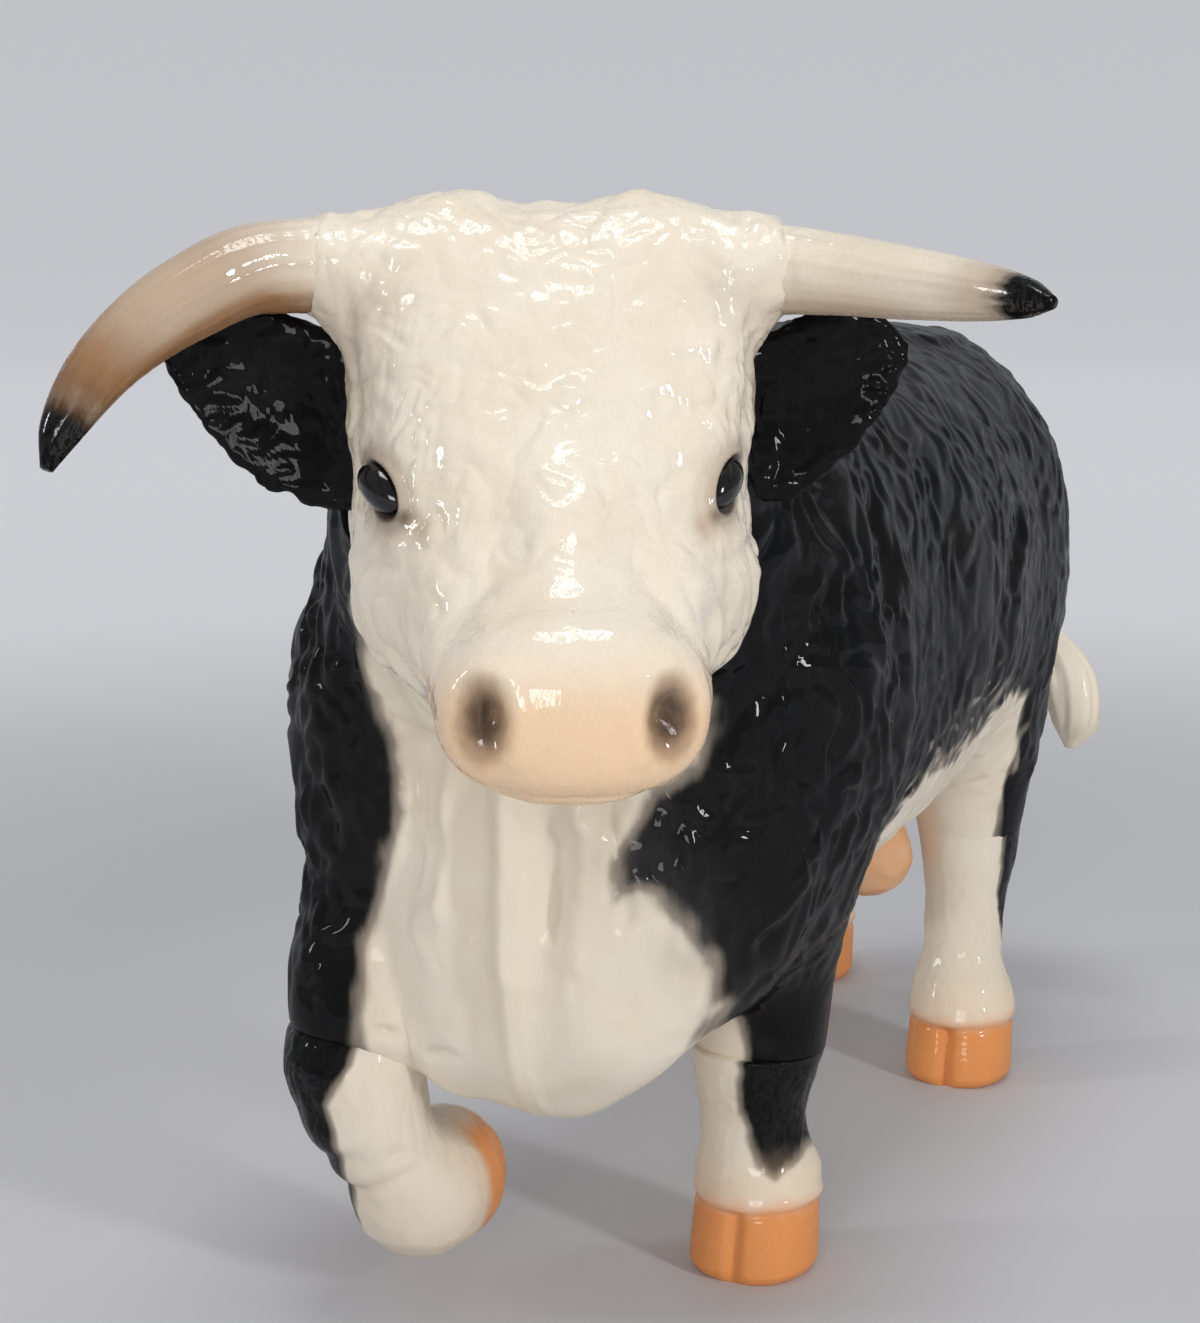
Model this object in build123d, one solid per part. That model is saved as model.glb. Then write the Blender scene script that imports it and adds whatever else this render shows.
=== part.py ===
from build123d import *
import os

# A moulded bull figurine. It faces -Y, its left side is +X, the ground is z = 0, the body seam is x = 0.

# Driving sizes of the whole animal
body_length = 200.0
body_half_width = 50.0
withers_height = 160.0
wall = 2.5
head_wall = 2.2
clearance = 0.15
overrun = 1.0
reach = 400.0

# Places and sizes of the head, which is turned to the animal's left
poll_aside = 8.0
poll_lead = 4.0
poll_rise = 5.0
head_turn = 29.0
head_half_width = 28.6
head_height = 75.0
head_depth = 54.0
muzzle_half_width = 17.4
muzzle_half_height = 11.6
muzzle_half_depth = 12.5
neck_seat = 12.0
eye_radius = 3.9

# Tongue that the head carries into the neck
collar_half_width = 15.0
collar_half_height = 19.0
collar_reach = 6.0

# Pins that locate the halves on each other
pin_radius = 1.5
pin_length = 4.0
boss_radius = 4.2
boss_length = 8.0
boss_sink = 0.7

# Heights of the flat seams between the body and the lower legs, and the spigots across them
fore_left_seam = 38.4
fore_right_seam = 48.0
hind_left_seam = 50.0
hind_right_seam = 53.0
spigot_share = 0.66
spigot_length = 5.0
raised_bore_depth = 30.0

# Hooves and the fetlock of the folded leg
fetlock_radius = 10.7
hoof_height = 12.5
hoof_cleft_width = 1.6
hoof_cleft_depth = 3.4

# Horns
horn_base_radius = 6.0
horn_span = 40.0
horn_seat = 23.0
horn_peg_radius = 3.6
horn_peg_length = 3.5

# Ears
ear_length = 28.0
ear_half_height = 12.4
ear_half_thickness = 4.2
ear_seat = 23.5
ear_peg_radius = 2.2
ear_peg_length = 3.0

# Tail and scrotum
tail_radius = 4.6
tail_peg_radius = 2.6
tail_peg_length = 6.0
scrotum_half_width = 9.6
scrotum_height = 21.0
scrotum_stub = 2.0
scrotum_peg_radius = 3.4
scrotum_peg_length = 2.2

# Half of a cross outline, top to bottom: across and up, as shares of half width and half height
TRUNK_OUTLINE_SHARES = [
    (0.0, 1.0), (0.42, 0.955), (0.76, 0.75), (0.96, 0.38), (1.0, -0.05),
    (0.90, -0.47), (0.66, -0.79), (0.34, -0.95), (0.0, -1.0),
]
# Half of a level outline of the head from the front to the back, for the brow and for the jaw
BROW_OUTLINE_SHARES = [
    (0.0, 1.0), (0.40, 0.97), (0.74, 0.80), (0.93, 0.48), (1.0, 0.05),
    (0.98, -0.40), (0.80, -0.80), (0.40, -0.97), (0.0, -1.0),
]
JAW_OUTLINE_SHARES = [
    (0.0, 1.0), (0.33, 0.94), (0.56, 0.72), (0.76, 0.42), (0.95, 0.02),
    (1.0, -0.40), (0.82, -0.80), (0.40, -0.97), (0.0, -1.0),
]

# Trunk stations: along, half width, top and bottom, as shares of length, half width and height
TRUNK_SHARES = [
    (-0.460, 0.20, 0.575, 0.345),
    (-0.440, 0.40, 0.650, 0.270),
    (-0.400, 0.62, 0.760, 0.225),
    (-0.340, 0.77, 0.895, 0.225),
    (-0.250, 0.83, 0.980, 0.270),
    (-0.125, 0.83, 0.975, 0.315),
    (0.025, 0.86, 0.950, 0.345),
    (0.175, 0.84, 0.950, 0.352),
    (0.310, 0.76, 0.945, 0.380),
    (0.420, 0.63, 0.920, 0.450),
    (0.480, 0.42, 0.875, 0.550),
    (0.505, 0.18, 0.810, 0.650),
]
# Neck stations behind the head's seat: centre, forward slope, half width and half height
NECK_SHARES = [
    (0.0, -0.190, 0.700, 0.0, 0.25, 0.72, 0.262),
    (-0.01, -0.290, 0.756, 0.05, 0.28, 0.77, 0.262),
    (-0.01, -0.365, 0.806, 0.25, 0.20, 0.74, 0.238),
]
# Level stations of the limbs: across, along, up, half width and half length as shares of body sizes
FORE_LEFT_SHARES = [
    (0.32, -0.210, 0.850, 0.24, 0.090),
    (0.40, -0.225, 0.738, 0.36, 0.125),
    (0.44, -0.235, 0.613, 0.40, 0.130),
    (0.42, -0.235, 0.500, 0.37, 0.110),
    (0.41, -0.225, 0.413, 0.31, 0.085),
    (0.40, -0.212, 0.325, 0.25, 0.065),
    (0.39, -0.205, 0.240, 0.22, 0.057),
]
FORE_RIGHT_SHARES = [
    (-0.42, -0.290, 0.850, 0.26, 0.090),
    (-0.53, -0.325, 0.738, 0.35, 0.110),
    (-0.56, -0.340, 0.620, 0.405, 0.118),
    (-0.56, -0.350, 0.510, 0.36, 0.098),
    (-0.60, -0.365, 0.430, 0.30, 0.075),
    (-0.65, -0.394, 0.345, 0.25, 0.063),
    (-0.66, -0.400, 0.300, 0.23, 0.061),
]
HIND_LEFT_SHARES = [
    (0.22, 0.310, 0.925, 0.16, 0.080),
    (0.28, 0.320, 0.875, 0.30, 0.120),
    (0.34, 0.330, 0.800, 0.40, 0.140),
    (0.37, 0.340, 0.650, 0.43, 0.150),
    (0.38, 0.340, 0.531, 0.40, 0.130),
    (0.41, 0.345, 0.438, 0.33, 0.098),
    (0.44, 0.352, 0.375, 0.26, 0.070),
    (0.45, 0.355, 0.312, 0.205, 0.057),
]
HIND_RIGHT_SHARES = [
    (-0.22, 0.310, 0.925, 0.16, 0.080),
    (-0.28, 0.320, 0.875, 0.30, 0.120),
    (-0.33, 0.330, 0.800, 0.37, 0.140),
    (-0.36, 0.345, 0.625, 0.41, 0.150),
    (-0.38, 0.365, 0.531, 0.38, 0.130),
    (-0.43, 0.410, 0.438, 0.31, 0.095),
    (-0.47, 0.448, 0.380, 0.25, 0.070),
    (-0.49, 0.473, 0.331, 0.205, 0.057),
]
# Lower legs to the hoof's top: across, along, up as a share of the seam height, half width, half length
FORE_LEFT_LOWER_SHARES = [
    (0.39, -0.205, 1.00, 0.220, 0.057),
    (0.38, -0.205, 0.88, 0.200, 0.053),
    (0.37, -0.203, 0.68, 0.174, 0.043),
    (0.38, -0.200, 0.53, 0.190, 0.046),
    (0.385, -0.199, 0.41, 0.214, 0.052),
]
HIND_LEFT_LOWER_SHARES = [
    (0.45, 0.355, 1.00, 0.205, 0.057),
    (0.455, 0.355, 0.88, 0.190, 0.057),
    (0.455, 0.345, 0.70, 0.162, 0.043),
    (0.46, 0.335, 0.52, 0.158, 0.038),
    (0.47, 0.326, 0.38, 0.200, 0.048),
    (0.48, 0.321, 0.29, 0.212, 0.053),
]
HIND_RIGHT_LOWER_SHARES = [
    (-0.49, 0.473, 1.00, 0.205, 0.057),
    (-0.505, 0.495, 0.84, 0.190, 0.055),
    (-0.52, 0.525, 0.64, 0.164, 0.043),
    (-0.535, 0.552, 0.45, 0.160, 0.038),
    (-0.545, 0.572, 0.33, 0.198, 0.047),
    (-0.55, 0.580, 0.27, 0.210, 0.052),
]
# Hoof sole: half width and half length, and how far its centre runs ahead of the hoof's top
HOOF_SOLE_SHARES = (0.204, 0.054)
HOOF_SLOPE_SHARE = 0.008
# Folded leg below its seam: level stations as above, then the ball of the fetlock and the foot
RAISED_SHARES = [
    (-0.66, -0.400, 1.00, 0.230, 0.061),
    (-0.655, -0.415, 0.85, 0.225, 0.058),
    (-0.62, -0.416, 0.68, 0.205, 0.053),
    (-0.555, -0.403, 0.53, 0.198, 0.052),
    (-0.50, -0.388, 0.38, 0.185, 0.048),
]
FETLOCK_PLACE_SHARES = (-0.496, -0.386, 0.117)
# Foot of the folded leg: across, along, up, radius as a share of the fetlock's
RAISED_FOOT_SHARES = [
    (-0.496, -0.386, 0.117, 0.92), (-0.500, -0.355, 0.114, 0.97),
    (-0.512, -0.328, 0.117, 0.91), (-0.520, -0.308, 0.119, 0.78),
]
# Level stations of the head: up, front, half width, and how far the outline is the jaw's
HEAD_SHARES = [
    (0.152, -0.02, 0.62, 0.0),
    (0.120, 0.08, 0.88, 0.0),
    (0.045, 0.17, 1.00, 0.0),
    (-0.100, 0.29, 0.99, 0.0),
    (-0.260, 0.42, 1.00, 0.1),
    (-0.430, 0.60, 1.02, 0.5),
    (-0.590, 0.82, 0.96, 1.0),
    (-0.710, 0.92, 0.78, 1.0),
    (-0.790, 0.90, 0.54, 1.0),
    (-0.835, 0.80, 0.30, 1.0),
]
# Muzzle ovals: ahead of its centre and size, as shares of its half sizes
MUZZLE_SHARES = [(-0.92, 0.45), (-0.6, 0.82), (0.0, 1.0), (0.45, 0.91), (0.78, 0.66), (0.96, 0.32)]
# Back of each head station, as a share of head depth
HEAD_BACK_SHARES = [-0.25, -0.40, -0.58, -0.62, -0.62, -0.62, -0.50, -0.28, 0.02, 0.28]
MUZZLE_PLACE_SHARES = (0.02, 0.79, -0.700)
EYE_PLACE_SHARES = (0.765, 0.33, -0.37)
NECK_JOINT_UP_SHARE = -0.36
NECK_JOINT_SHARES = (1.04, 0.42)
COLLAR_UP_SHARE = -0.33
HORN_UP_SHARE = 0.02
EAR_UP_SHARE = -0.262
EAR_FORWARD_SHARE = -0.04
# Horns from the seat outward: across, forward, up and radius, as shares of span and base radius
HORN_RIGHT_SHARES = [
    (0.0, 0.0, 0.0, 1.10), (0.16, 0.0, 0.0, 1.10), (0.40, 0.09, -0.01, 1.02), (0.67, 0.23, -0.12, 0.93),
    (0.90, 0.35, -0.30, 0.76), (1.05, 0.46, -0.52, 0.50), (1.09, 0.51, -0.64, 0.16),
]
HORN_LEFT_SHARES = [
    (0.0, 0.0, -0.02, 1.06), (0.16, 0.0, -0.02, 1.06), (0.40, 0.13, -0.035, 0.92), (0.62, 0.33, -0.06, 0.80),
    (0.80, 0.54, -0.08, 0.65), (0.92, 0.74, -0.095, 0.46), (0.97, 0.85, -0.105, 0.16),
]
# Ears from the seat outward: across, forward, up, half height and half thickness
EAR_RIGHT_SHARES = [
    (0.0, 0.0, 0.0, 0.84, 1.0), (0.20, 0.0, 0.0, 0.84, 1.0), (0.45, -0.03, 0.06, 1.0, 0.95),
    (0.74, -0.07, 0.18, 0.86, 0.80), (0.98, -0.10, 0.33, 0.50, 0.55), (1.12, -0.12, 0.42, 0.14, 0.25),
]
EAR_LEFT_SHARES = [
    (0.0, 0.0, 0.0, 0.84, 1.0), (0.18, 0.0, 0.0, 0.84, 1.0), (0.40, -0.02, 0.05, 0.96, 0.95),
    (0.64, -0.05, 0.14, 0.80, 0.80), (0.84, -0.08, 0.24, 0.48, 0.55), (0.95, -0.09, 0.29, 0.14, 0.25),
]
# Tail from its seat: across, along, up and radius, as shares of body sizes and tail radius
TAIL_SHARES = [
    (0.0, 0.505, 0.875, 1.0), (0.0, 0.535, 0.862, 1.0), (0.03, 0.560, 0.810, 0.85),
    (0.12, 0.572, 0.700, 0.72), (0.30, 0.578, 0.590, 0.72), (0.50, 0.580, 0.510, 0.98),
    (0.62, 0.580, 0.450, 1.30), (0.66, 0.577, 0.400, 1.15), (0.65, 0.574, 0.362, 0.35),
]
SCROTUM_SHARES = [
    (0.0, 0.62), (0.12, 0.62), (0.35, 0.86), (0.62, 1.0), (0.85, 0.78), (1.0, 0.26),
]
SCROTUM_PLACE_SHARES = (0.10, 0.285)
# Places of the pins along the back and the belly, and forward in the head under the poll and over the chin
BACK_PIN_SHARES = [-0.12, 0.06, 0.36]
BELLY_PIN_SHARES = [0.10, -0.34]
POLL_PIN_SHARE = -0.08
CHIN_PIN_SHARE = 0.42


def at(across, along, up):
    """A place in the body from its shares of half width, length and height."""
    return (across * body_half_width, along * body_length, up * withers_height)


def head_at(across, forward, up):
    """A place in the head from its shares of half width, depth and height, before the head is turned."""
    return (across * head_half_width, -forward * head_depth, up * head_height)


# Ends of the trunk, which the head and the tail follow
trunk_front = TRUNK_SHARES[0][0] * body_length
tail_seat = TRUNK_SHARES[-1][0] * body_length
HEAD_PLACE = Pos(poll_aside, trunk_front - poll_lead, withers_height + poll_rise) * Rot(0, 0, head_turn)


def trunk_skin(along):
    """Heights of the back and the belly at a share of the length, straight between the trunk's stations."""
    for first, second in zip(TRUNK_SHARES, TRUNK_SHARES[1:]):
        if along <= second[0]:
            break
    share = (along - first[0]) / (second[0] - first[0])
    return [(a + (b - a) * share) * withers_height for a, b in zip(first[2:], second[2:])]


scrotum_seat = trunk_skin(SCROTUM_PLACE_SHARES[1])[1] - scrotum_stub


def body_pins():
    """Places of the pins on the body seam, along and up, bosses sunk in the wall of back or belly."""
    depth = wall + boss_radius - boss_sink
    back = [(along * body_length, trunk_skin(along)[0] - depth) for along in BACK_PIN_SHARES]
    belly = [(along * body_length, trunk_skin(along)[1] + depth) for along in BELLY_PIN_SHARES]
    return back + belly


def head_pins():
    """Places of the pins in the head, forward and up: under the poll, behind the brow and over the chin."""
    depth = head_wall + boss_radius - boss_sink
    brow = HEAD_SHARES[len(HEAD_SHARES) // 2]
    return [
        (POLL_PIN_SHARE * head_depth, HEAD_SHARES[0][0] * head_height - depth),
        (brow[1] * head_depth - depth, brow[0] * head_height),
        (CHIN_PIN_SHARE * head_depth, HEAD_SHARES[-1][0] * head_height + depth),
    ]


def outline(half_width, high, low, shares):
    """A closed smooth outline, alike on both sides, from one half as shares, closed at its widest place."""
    middle, half = (high + low) / 2, (high - low) / 2
    side = [(x * half_width, middle + y * half) for x, y in shares]
    other = [(-x, y) for x, y in side[-2:0:-1]]
    widest = len(side) // 2
    ring = side[widest:] + other + side[:widest]
    return make_face(Spline(ring, periodic=True))


def blend(first, second, share):
    """Shares part way between two tables."""
    return [
        (a + (c - a) * share, b + (d - b) * share)
        for (a, b), (c, d) in zip(first, second)
    ]


def level_ring(row, z, inset=0.0):
    """A level elliptical face of a limb at a height."""
    across, along, _, half_x, half_y = row
    x, y, _ = at(across, along, 0)
    return Pos(x, y, z) * Ellipse(half_x * body_half_width - inset, half_y * body_length - inset)


def upper_limb(shares, seam):
    """A limb from the flank down to its flat seam."""
    rings = [level_ring(row, row[2] * withers_height) for row in shares[:-1]]
    return loft(rings + [level_ring(shares[-1], seam)])


def limb_hollow(shares):
    """The hollow of a limb, which ends well above its seam."""
    return loft([level_ring(row, row[2] * withers_height, wall) for row in shares[:-2]])


def lower_rings(shares, seam):
    """Level faces of a lower leg, with heights as shares of its seam's height."""
    return [level_ring(row, row[2] * seam) for row in shares]


def trunk(inset):
    """The barrel from brisket to rump, drawn in on all sides by the inset."""
    rings = []
    last = len(TRUNK_SHARES) - 1
    for number, (along, wide, top, bottom) in enumerate(TRUNK_SHARES):
        y = along * body_length
        if number == 0:
            y += inset
        if number == last:
            y -= inset
        half = wide * body_half_width - inset
        high, low = top * withers_height - inset, bottom * withers_height + inset
        face = outline(half, high, low, TRUNK_OUTLINE_SHARES)
        rings.append(Plane(origin=(0, y, 0), x_dir=(1, 0, 0), z_dir=(0, -1, 0)) * face)
    return loft(rings)


def neck_seat_face(back, inset):
    """The oval where neck and head meet, in the head's frame, moved back along the neck."""
    up = NECK_JOINT_UP_SHARE * head_height
    half_width = NECK_JOINT_SHARES[0] * head_half_width - inset
    half_height = NECK_JOINT_SHARES[1] * head_height - inset
    plane = Plane(origin=(0, neck_seat + back, up), x_dir=(1, 0, 0), z_dir=(0, -1, 0))
    return HEAD_PLACE * (plane * Ellipse(half_width, half_height))


def neck(inset):
    """The neck from inside the trunk to the head's seat, where an inset also leaves an end wall."""
    rings = []
    for across, along, up, turn, rise, wide, tall in NECK_SHARES:
        ahead = Vector(turn, -1, rise)
        side = Vector(1, turn, 0)
        plane = Plane(origin=at(across, along, up), x_dir=side, z_dir=ahead)
        rings.append(plane * Ellipse(wide * body_half_width - inset, tall * withers_height - inset))
    rings.append(neck_seat_face(inset, inset))
    return loft(rings)


def raised_bore():
    """The core hole of the folded leg, open at the top of its spigot."""
    across, along, _, half_x, half_y = RAISED_SHARES[0]
    x, y, _ = at(across, along, 0)
    half_width = half_x * body_half_width * spigot_share - wall
    half_length = half_y * body_length * spigot_share - wall
    top = Pos(x, y, fore_right_seam + spigot_length) * Ellipse(half_width, half_length)
    return extrude(top, -raised_bore_depth)


def raised_leg():
    """The folded foreleg: shank down to the fetlock, the round fetlock and the foot turned to the rear."""
    form = loft(lower_rings(RAISED_SHARES, fore_right_seam))
    form += Pos(*at(*FETLOCK_PLACE_SHARES)) * Rot(90, 0, 0) * Sphere(fetlock_radius)
    rings = []
    for across, along, up, wide in RAISED_FOOT_SHARES:
        plane = Plane(origin=at(across, along, up), x_dir=(1, 0, 0), z_dir=(0, 1, 0))
        rings.append(plane * Circle(wide * fetlock_radius))
    form += loft(rings)
    form -= trunk(-clearance)
    form += spigot(RAISED_SHARES[0], fore_right_seam, 0)
    return form - raised_bore()


def hoof_cleft(x, y):
    """The slot that parts the two toes, open to the front and the sole."""
    front = y - HOOF_SOLE_SHARES[1] * body_length
    slot = Box(hoof_cleft_width, hoof_cleft_depth * 2, hoof_height * 2)
    return Pos(x, front, 0) * slot


def spigot(shares, seam, grow):
    """The plug that a lower leg carries up into the body, grown by a clearance for its pocket."""
    across, along, up, half_x, half_y = shares[:5]
    half_across, half_along = half_x * body_half_width, half_y * body_length
    plug = Ellipse(half_across * spigot_share + grow, half_along * spigot_share + grow)
    x, y, _ = at(across, along, up)
    return extrude(Pos(x, y, seam) * plug, spigot_length + grow)


def lower_leg(shares, seam):
    """A leg from its seam to the ground: shank, coronet, hoof with its cleft, and the spigot on top."""
    rings = lower_rings(shares, seam)
    shank = loft(rings)
    across, along, up, half_x, half_y = shares[-1]
    x, y, _ = at(across, along, 0)
    half_sole = (HOOF_SOLE_SHARES[0] * body_half_width, HOOF_SOLE_SHARES[1] * body_length)
    toe = y - HOOF_SLOPE_SHARE * body_length
    hoof = loft([Pos(x, toe, 0) * Ellipse(*half_sole), rings[-1]])
    hoof -= hoof_cleft(x, toe)
    return shank + hoof + spigot(shares[0], seam, 0)


def boss_along_x(y, z, length, radius):
    """A round bar across the seam plane at the given height."""
    return Pos(0, y, z) * Rot(0, 90, 0) * Cylinder(radius, length)


def half_space(side):
    """Everything on one side of the seam plane."""
    return Pos(side * reach / 2, 0, 0) * Box(reach, reach, reach * 2)


def tail_plug(grow):
    """The peg that holds the tail in the rump."""
    z = TAIL_SHARES[0][2] * withers_height
    length = tail_peg_length + grow
    return Pos(0, tail_seat - length / 2, z) * Rot(90, 0, 0) * Cylinder(tail_peg_radius + grow, length)


def scrotum_plug(grow):
    """The peg that holds the scrotum under the belly."""
    x, y, _ = at(*SCROTUM_PLACE_SHARES, 0)
    length = scrotum_peg_length + grow
    return Pos(x, y, scrotum_seat + length / 2) * Cylinder(scrotum_peg_radius + grow, length)


def collar_ring(grow, inner):
    """The oval tongue between head and neck, solid or as a ring."""
    up = COLLAR_UP_SHARE * head_height
    plane = Plane(origin=(0, neck_seat, up), x_dir=(1, 0, 0), z_dir=(0, 1, 0))
    ring = Ellipse(collar_half_width + grow, collar_half_height + grow)
    if inner:
        ring -= Ellipse(collar_half_width - wall, collar_half_height - wall)
    return extrude(plane * ring, collar_reach + grow)


def before_seat():
    """Everything in front of the plane where the head meets the neck, in the head's frame."""
    return Pos(0, neck_seat - reach / 2, 0) * Box(reach, reach, reach)


def body():
    """Trunk, neck and upper limbs as one hollow form, with pockets for all that plugs into it."""
    limbs = [FORE_LEFT_SHARES, FORE_RIGHT_SHARES, HIND_LEFT_SHARES, HIND_RIGHT_SHARES]
    seams = [fore_left_seam, fore_right_seam, hind_left_seam, hind_right_seam]
    form = trunk(0) + neck(0)
    for shares, seam in zip(limbs, seams):
        form += upper_limb(shares, seam)
    root_z = TAIL_SHARES[0][2] * withers_height
    root = Pos(0, tail_seat - tail_peg_length, root_z) * Rot(90, 0, 0)
    form += root * Cylinder(tail_radius, tail_peg_length * 2)
    seat_x, seat_y, _ = at(*SCROTUM_PLACE_SHARES, 0)
    pad_radius = scrotum_half_width * SCROTUM_SHARES[0][1]
    pad = Pos(seat_x, seat_y, scrotum_seat + wall) * Cylinder(pad_radius, wall * 2)
    form += pad
    hollow = trunk(wall) + neck(wall)
    for shares in (FORE_LEFT_SHARES, FORE_RIGHT_SHARES):
        hollow += limb_hollow(shares)
    hollow -= root * Cylinder(tail_radius, tail_peg_length * 2 + wall)
    hollow -= Pos(0, 0, wall) * pad
    for y, z in body_pins():
        hollow -= boss_along_x(y, z, boss_length * 2, boss_radius)
    form -= hollow
    for shares, seam in zip(limbs, seams):
        form -= spigot(shares[-1], seam, clearance)
    form -= tail_plug(clearance)
    form -= scrotum_plug(clearance)
    form -= HEAD_PLACE * collar_ring(clearance, False)
    form -= HEAD_PLACE * (head_form(-clearance) & before_seat())
    return form


def body_shells():
    """The two halves of the body, with pins on the left half and their holes in the right half."""
    form = body()
    left = form & half_space(1)
    right = form & half_space(-1)
    for y, z in body_pins():
        left += Pos(-pin_length / 2, 0, 0) * boss_along_x(y, z, pin_length, pin_radius)
        hole = pin_length + clearance
        right -= Pos(-hole / 2, 0, 0) * boss_along_x(y, z, hole, pin_radius + clearance)
    return left, right


def head_form(inset):
    """The head as level outlines from poll to chin, with the muzzle swelling at its end."""
    rings = []
    top = HEAD_SHARES[0][0] * head_height
    bottom = HEAD_SHARES[-1][0] * head_height
    middle = (top + bottom) / 2
    squeeze = 1 - inset / (top - middle)
    for (up, front, wide, jaw), back in zip(HEAD_SHARES, HEAD_BACK_SHARES):
        z = middle + (up * head_height - middle) * squeeze
        shares = blend(BROW_OUTLINE_SHARES, JAW_OUTLINE_SHARES, jaw)
        ahead, behind = front * head_depth - inset, back * head_depth
        face = outline(wide * head_half_width - inset, ahead, behind, shares)
        rings.append(Plane(origin=(0, 0, z), x_dir=(1, 0, 0), z_dir=(0, 0, -1)) * face)
    form = loft(rings)
    return form + muzzle(inset)


def muzzle(inset):
    """The rounded end of the nose, as upright ovals from back to front."""
    x, y, z = head_at(*MUZZLE_PLACE_SHARES)
    rings = []
    for ahead, wide in MUZZLE_SHARES:
        front = y - ahead * (muzzle_half_depth - inset)
        plane = Plane(origin=(x, front, z), x_dir=(1, 0, 0), z_dir=(0, -1, 0))
        half_width, half_height = wide * (muzzle_half_width - inset), wide * (muzzle_half_height - inset)
        rings.append(plane * Ellipse(half_width, half_height))
    return loft(rings)


def horn(shares, side):
    """A tapering horn that starts square to its seat, with a peg behind it."""
    rings = []
    places = []
    for across, forward, up, thick in shares:
        x = side * (horn_seat + across * horn_span)
        z = HORN_UP_SHARE * head_height + up * horn_span
        places.append(Vector(x, -forward * horn_span, z))
    for number, (place, row) in enumerate(zip(places, shares)):
        before = places[max(number - 1, 0)]
        after = places[min(number + 1, len(places) - 1)]
        ahead = Vector(side, 0, 0) if number < 2 else after - before
        rings.append(Plane(origin=place, x_dir=(0, 0, 1), z_dir=ahead) * Circle(row[3] * horn_base_radius))
    foot = extrude(rings[0], (places[1] - places[0]).length)
    return foot + loft(rings[1:]) + horn_plug(side, 0)


def horn_plug(side, grow):
    """The peg of a horn."""
    x = side * (horn_seat - (horn_peg_length + grow) / 2)
    place = Pos(x, 0, HORN_UP_SHARE * head_height)
    return place * Rot(0, 90, 0) * Cylinder(horn_peg_radius + grow, horn_peg_length + grow)


def horn_pocket(shares, side):
    """The round pocket that the foot of a horn stands in."""
    radius = shares[0][3] * horn_base_radius + clearance
    up = HORN_UP_SHARE * head_height + shares[0][2] * horn_span
    place = Pos(side * (horn_seat + horn_span / 2), 0, up)
    return place * Rot(0, 90, 0) * Cylinder(radius, horn_span)


def ear(shares, side):
    """A leaf-shaped ear that starts square to its seat, with a peg behind it."""
    rings = []
    for across, forward, up, tall, thick in shares:
        x = side * (ear_seat + across * ear_length)
        y = -EAR_FORWARD_SHARE * head_depth - forward * ear_length
        z = EAR_UP_SHARE * head_height + up * ear_length
        plane = Plane(origin=(x, y, z), x_dir=(0, 0, 1), z_dir=(side, 0, 0))
        rings.append(plane * Ellipse(tall * ear_half_height, thick * ear_half_thickness))
    foot = extrude(rings[0], (shares[1][0] - shares[0][0]) * ear_length)
    return foot + loft(rings[1:]) + ear_plug(side, 0)


def ear_plug(side, grow):
    """The peg of an ear."""
    x = side * (ear_seat - (ear_peg_length + grow) / 2)
    place = Pos(x, -EAR_FORWARD_SHARE * head_depth, EAR_UP_SHARE * head_height)
    return place * Rot(0, 90, 0) * Cylinder(ear_peg_radius + grow, ear_peg_length + grow)


def ear_pocket(shares, side):
    """The oval pocket that the foot of an ear stands in."""
    _, _, _, tall, thick = shares[0]
    plane = Plane(
        origin=(side * ear_seat, -EAR_FORWARD_SHARE * head_depth, EAR_UP_SHARE * head_height),
        x_dir=(0, 0, 1),
        z_dir=(side, 0, 0),
    )
    foot = Ellipse(tall * ear_half_height + clearance, thick * ear_half_thickness + clearance)
    return extrude(plane * foot, ear_length)


def seat_block(side):
    """Solid backing behind the seats of a horn and an ear, left standing inside the hollow head."""
    horn_back = Pos(side * (horn_seat - horn_peg_length / 2), 0, HORN_UP_SHARE * head_height)
    horn_back *= Rot(0, 90, 0) * Cylinder(horn_base_radius + head_wall, horn_peg_length + head_wall * 2)
    ear_middle = side * (ear_seat - ear_peg_length / 2)
    ear_back = Pos(ear_middle, -EAR_FORWARD_SHARE * head_depth, EAR_UP_SHARE * head_height)
    ear_back *= Box(ear_peg_length + head_wall * 2, ear_half_thickness * 2 + head_wall, ear_half_height * 2)
    return horn_back + ear_back


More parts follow.
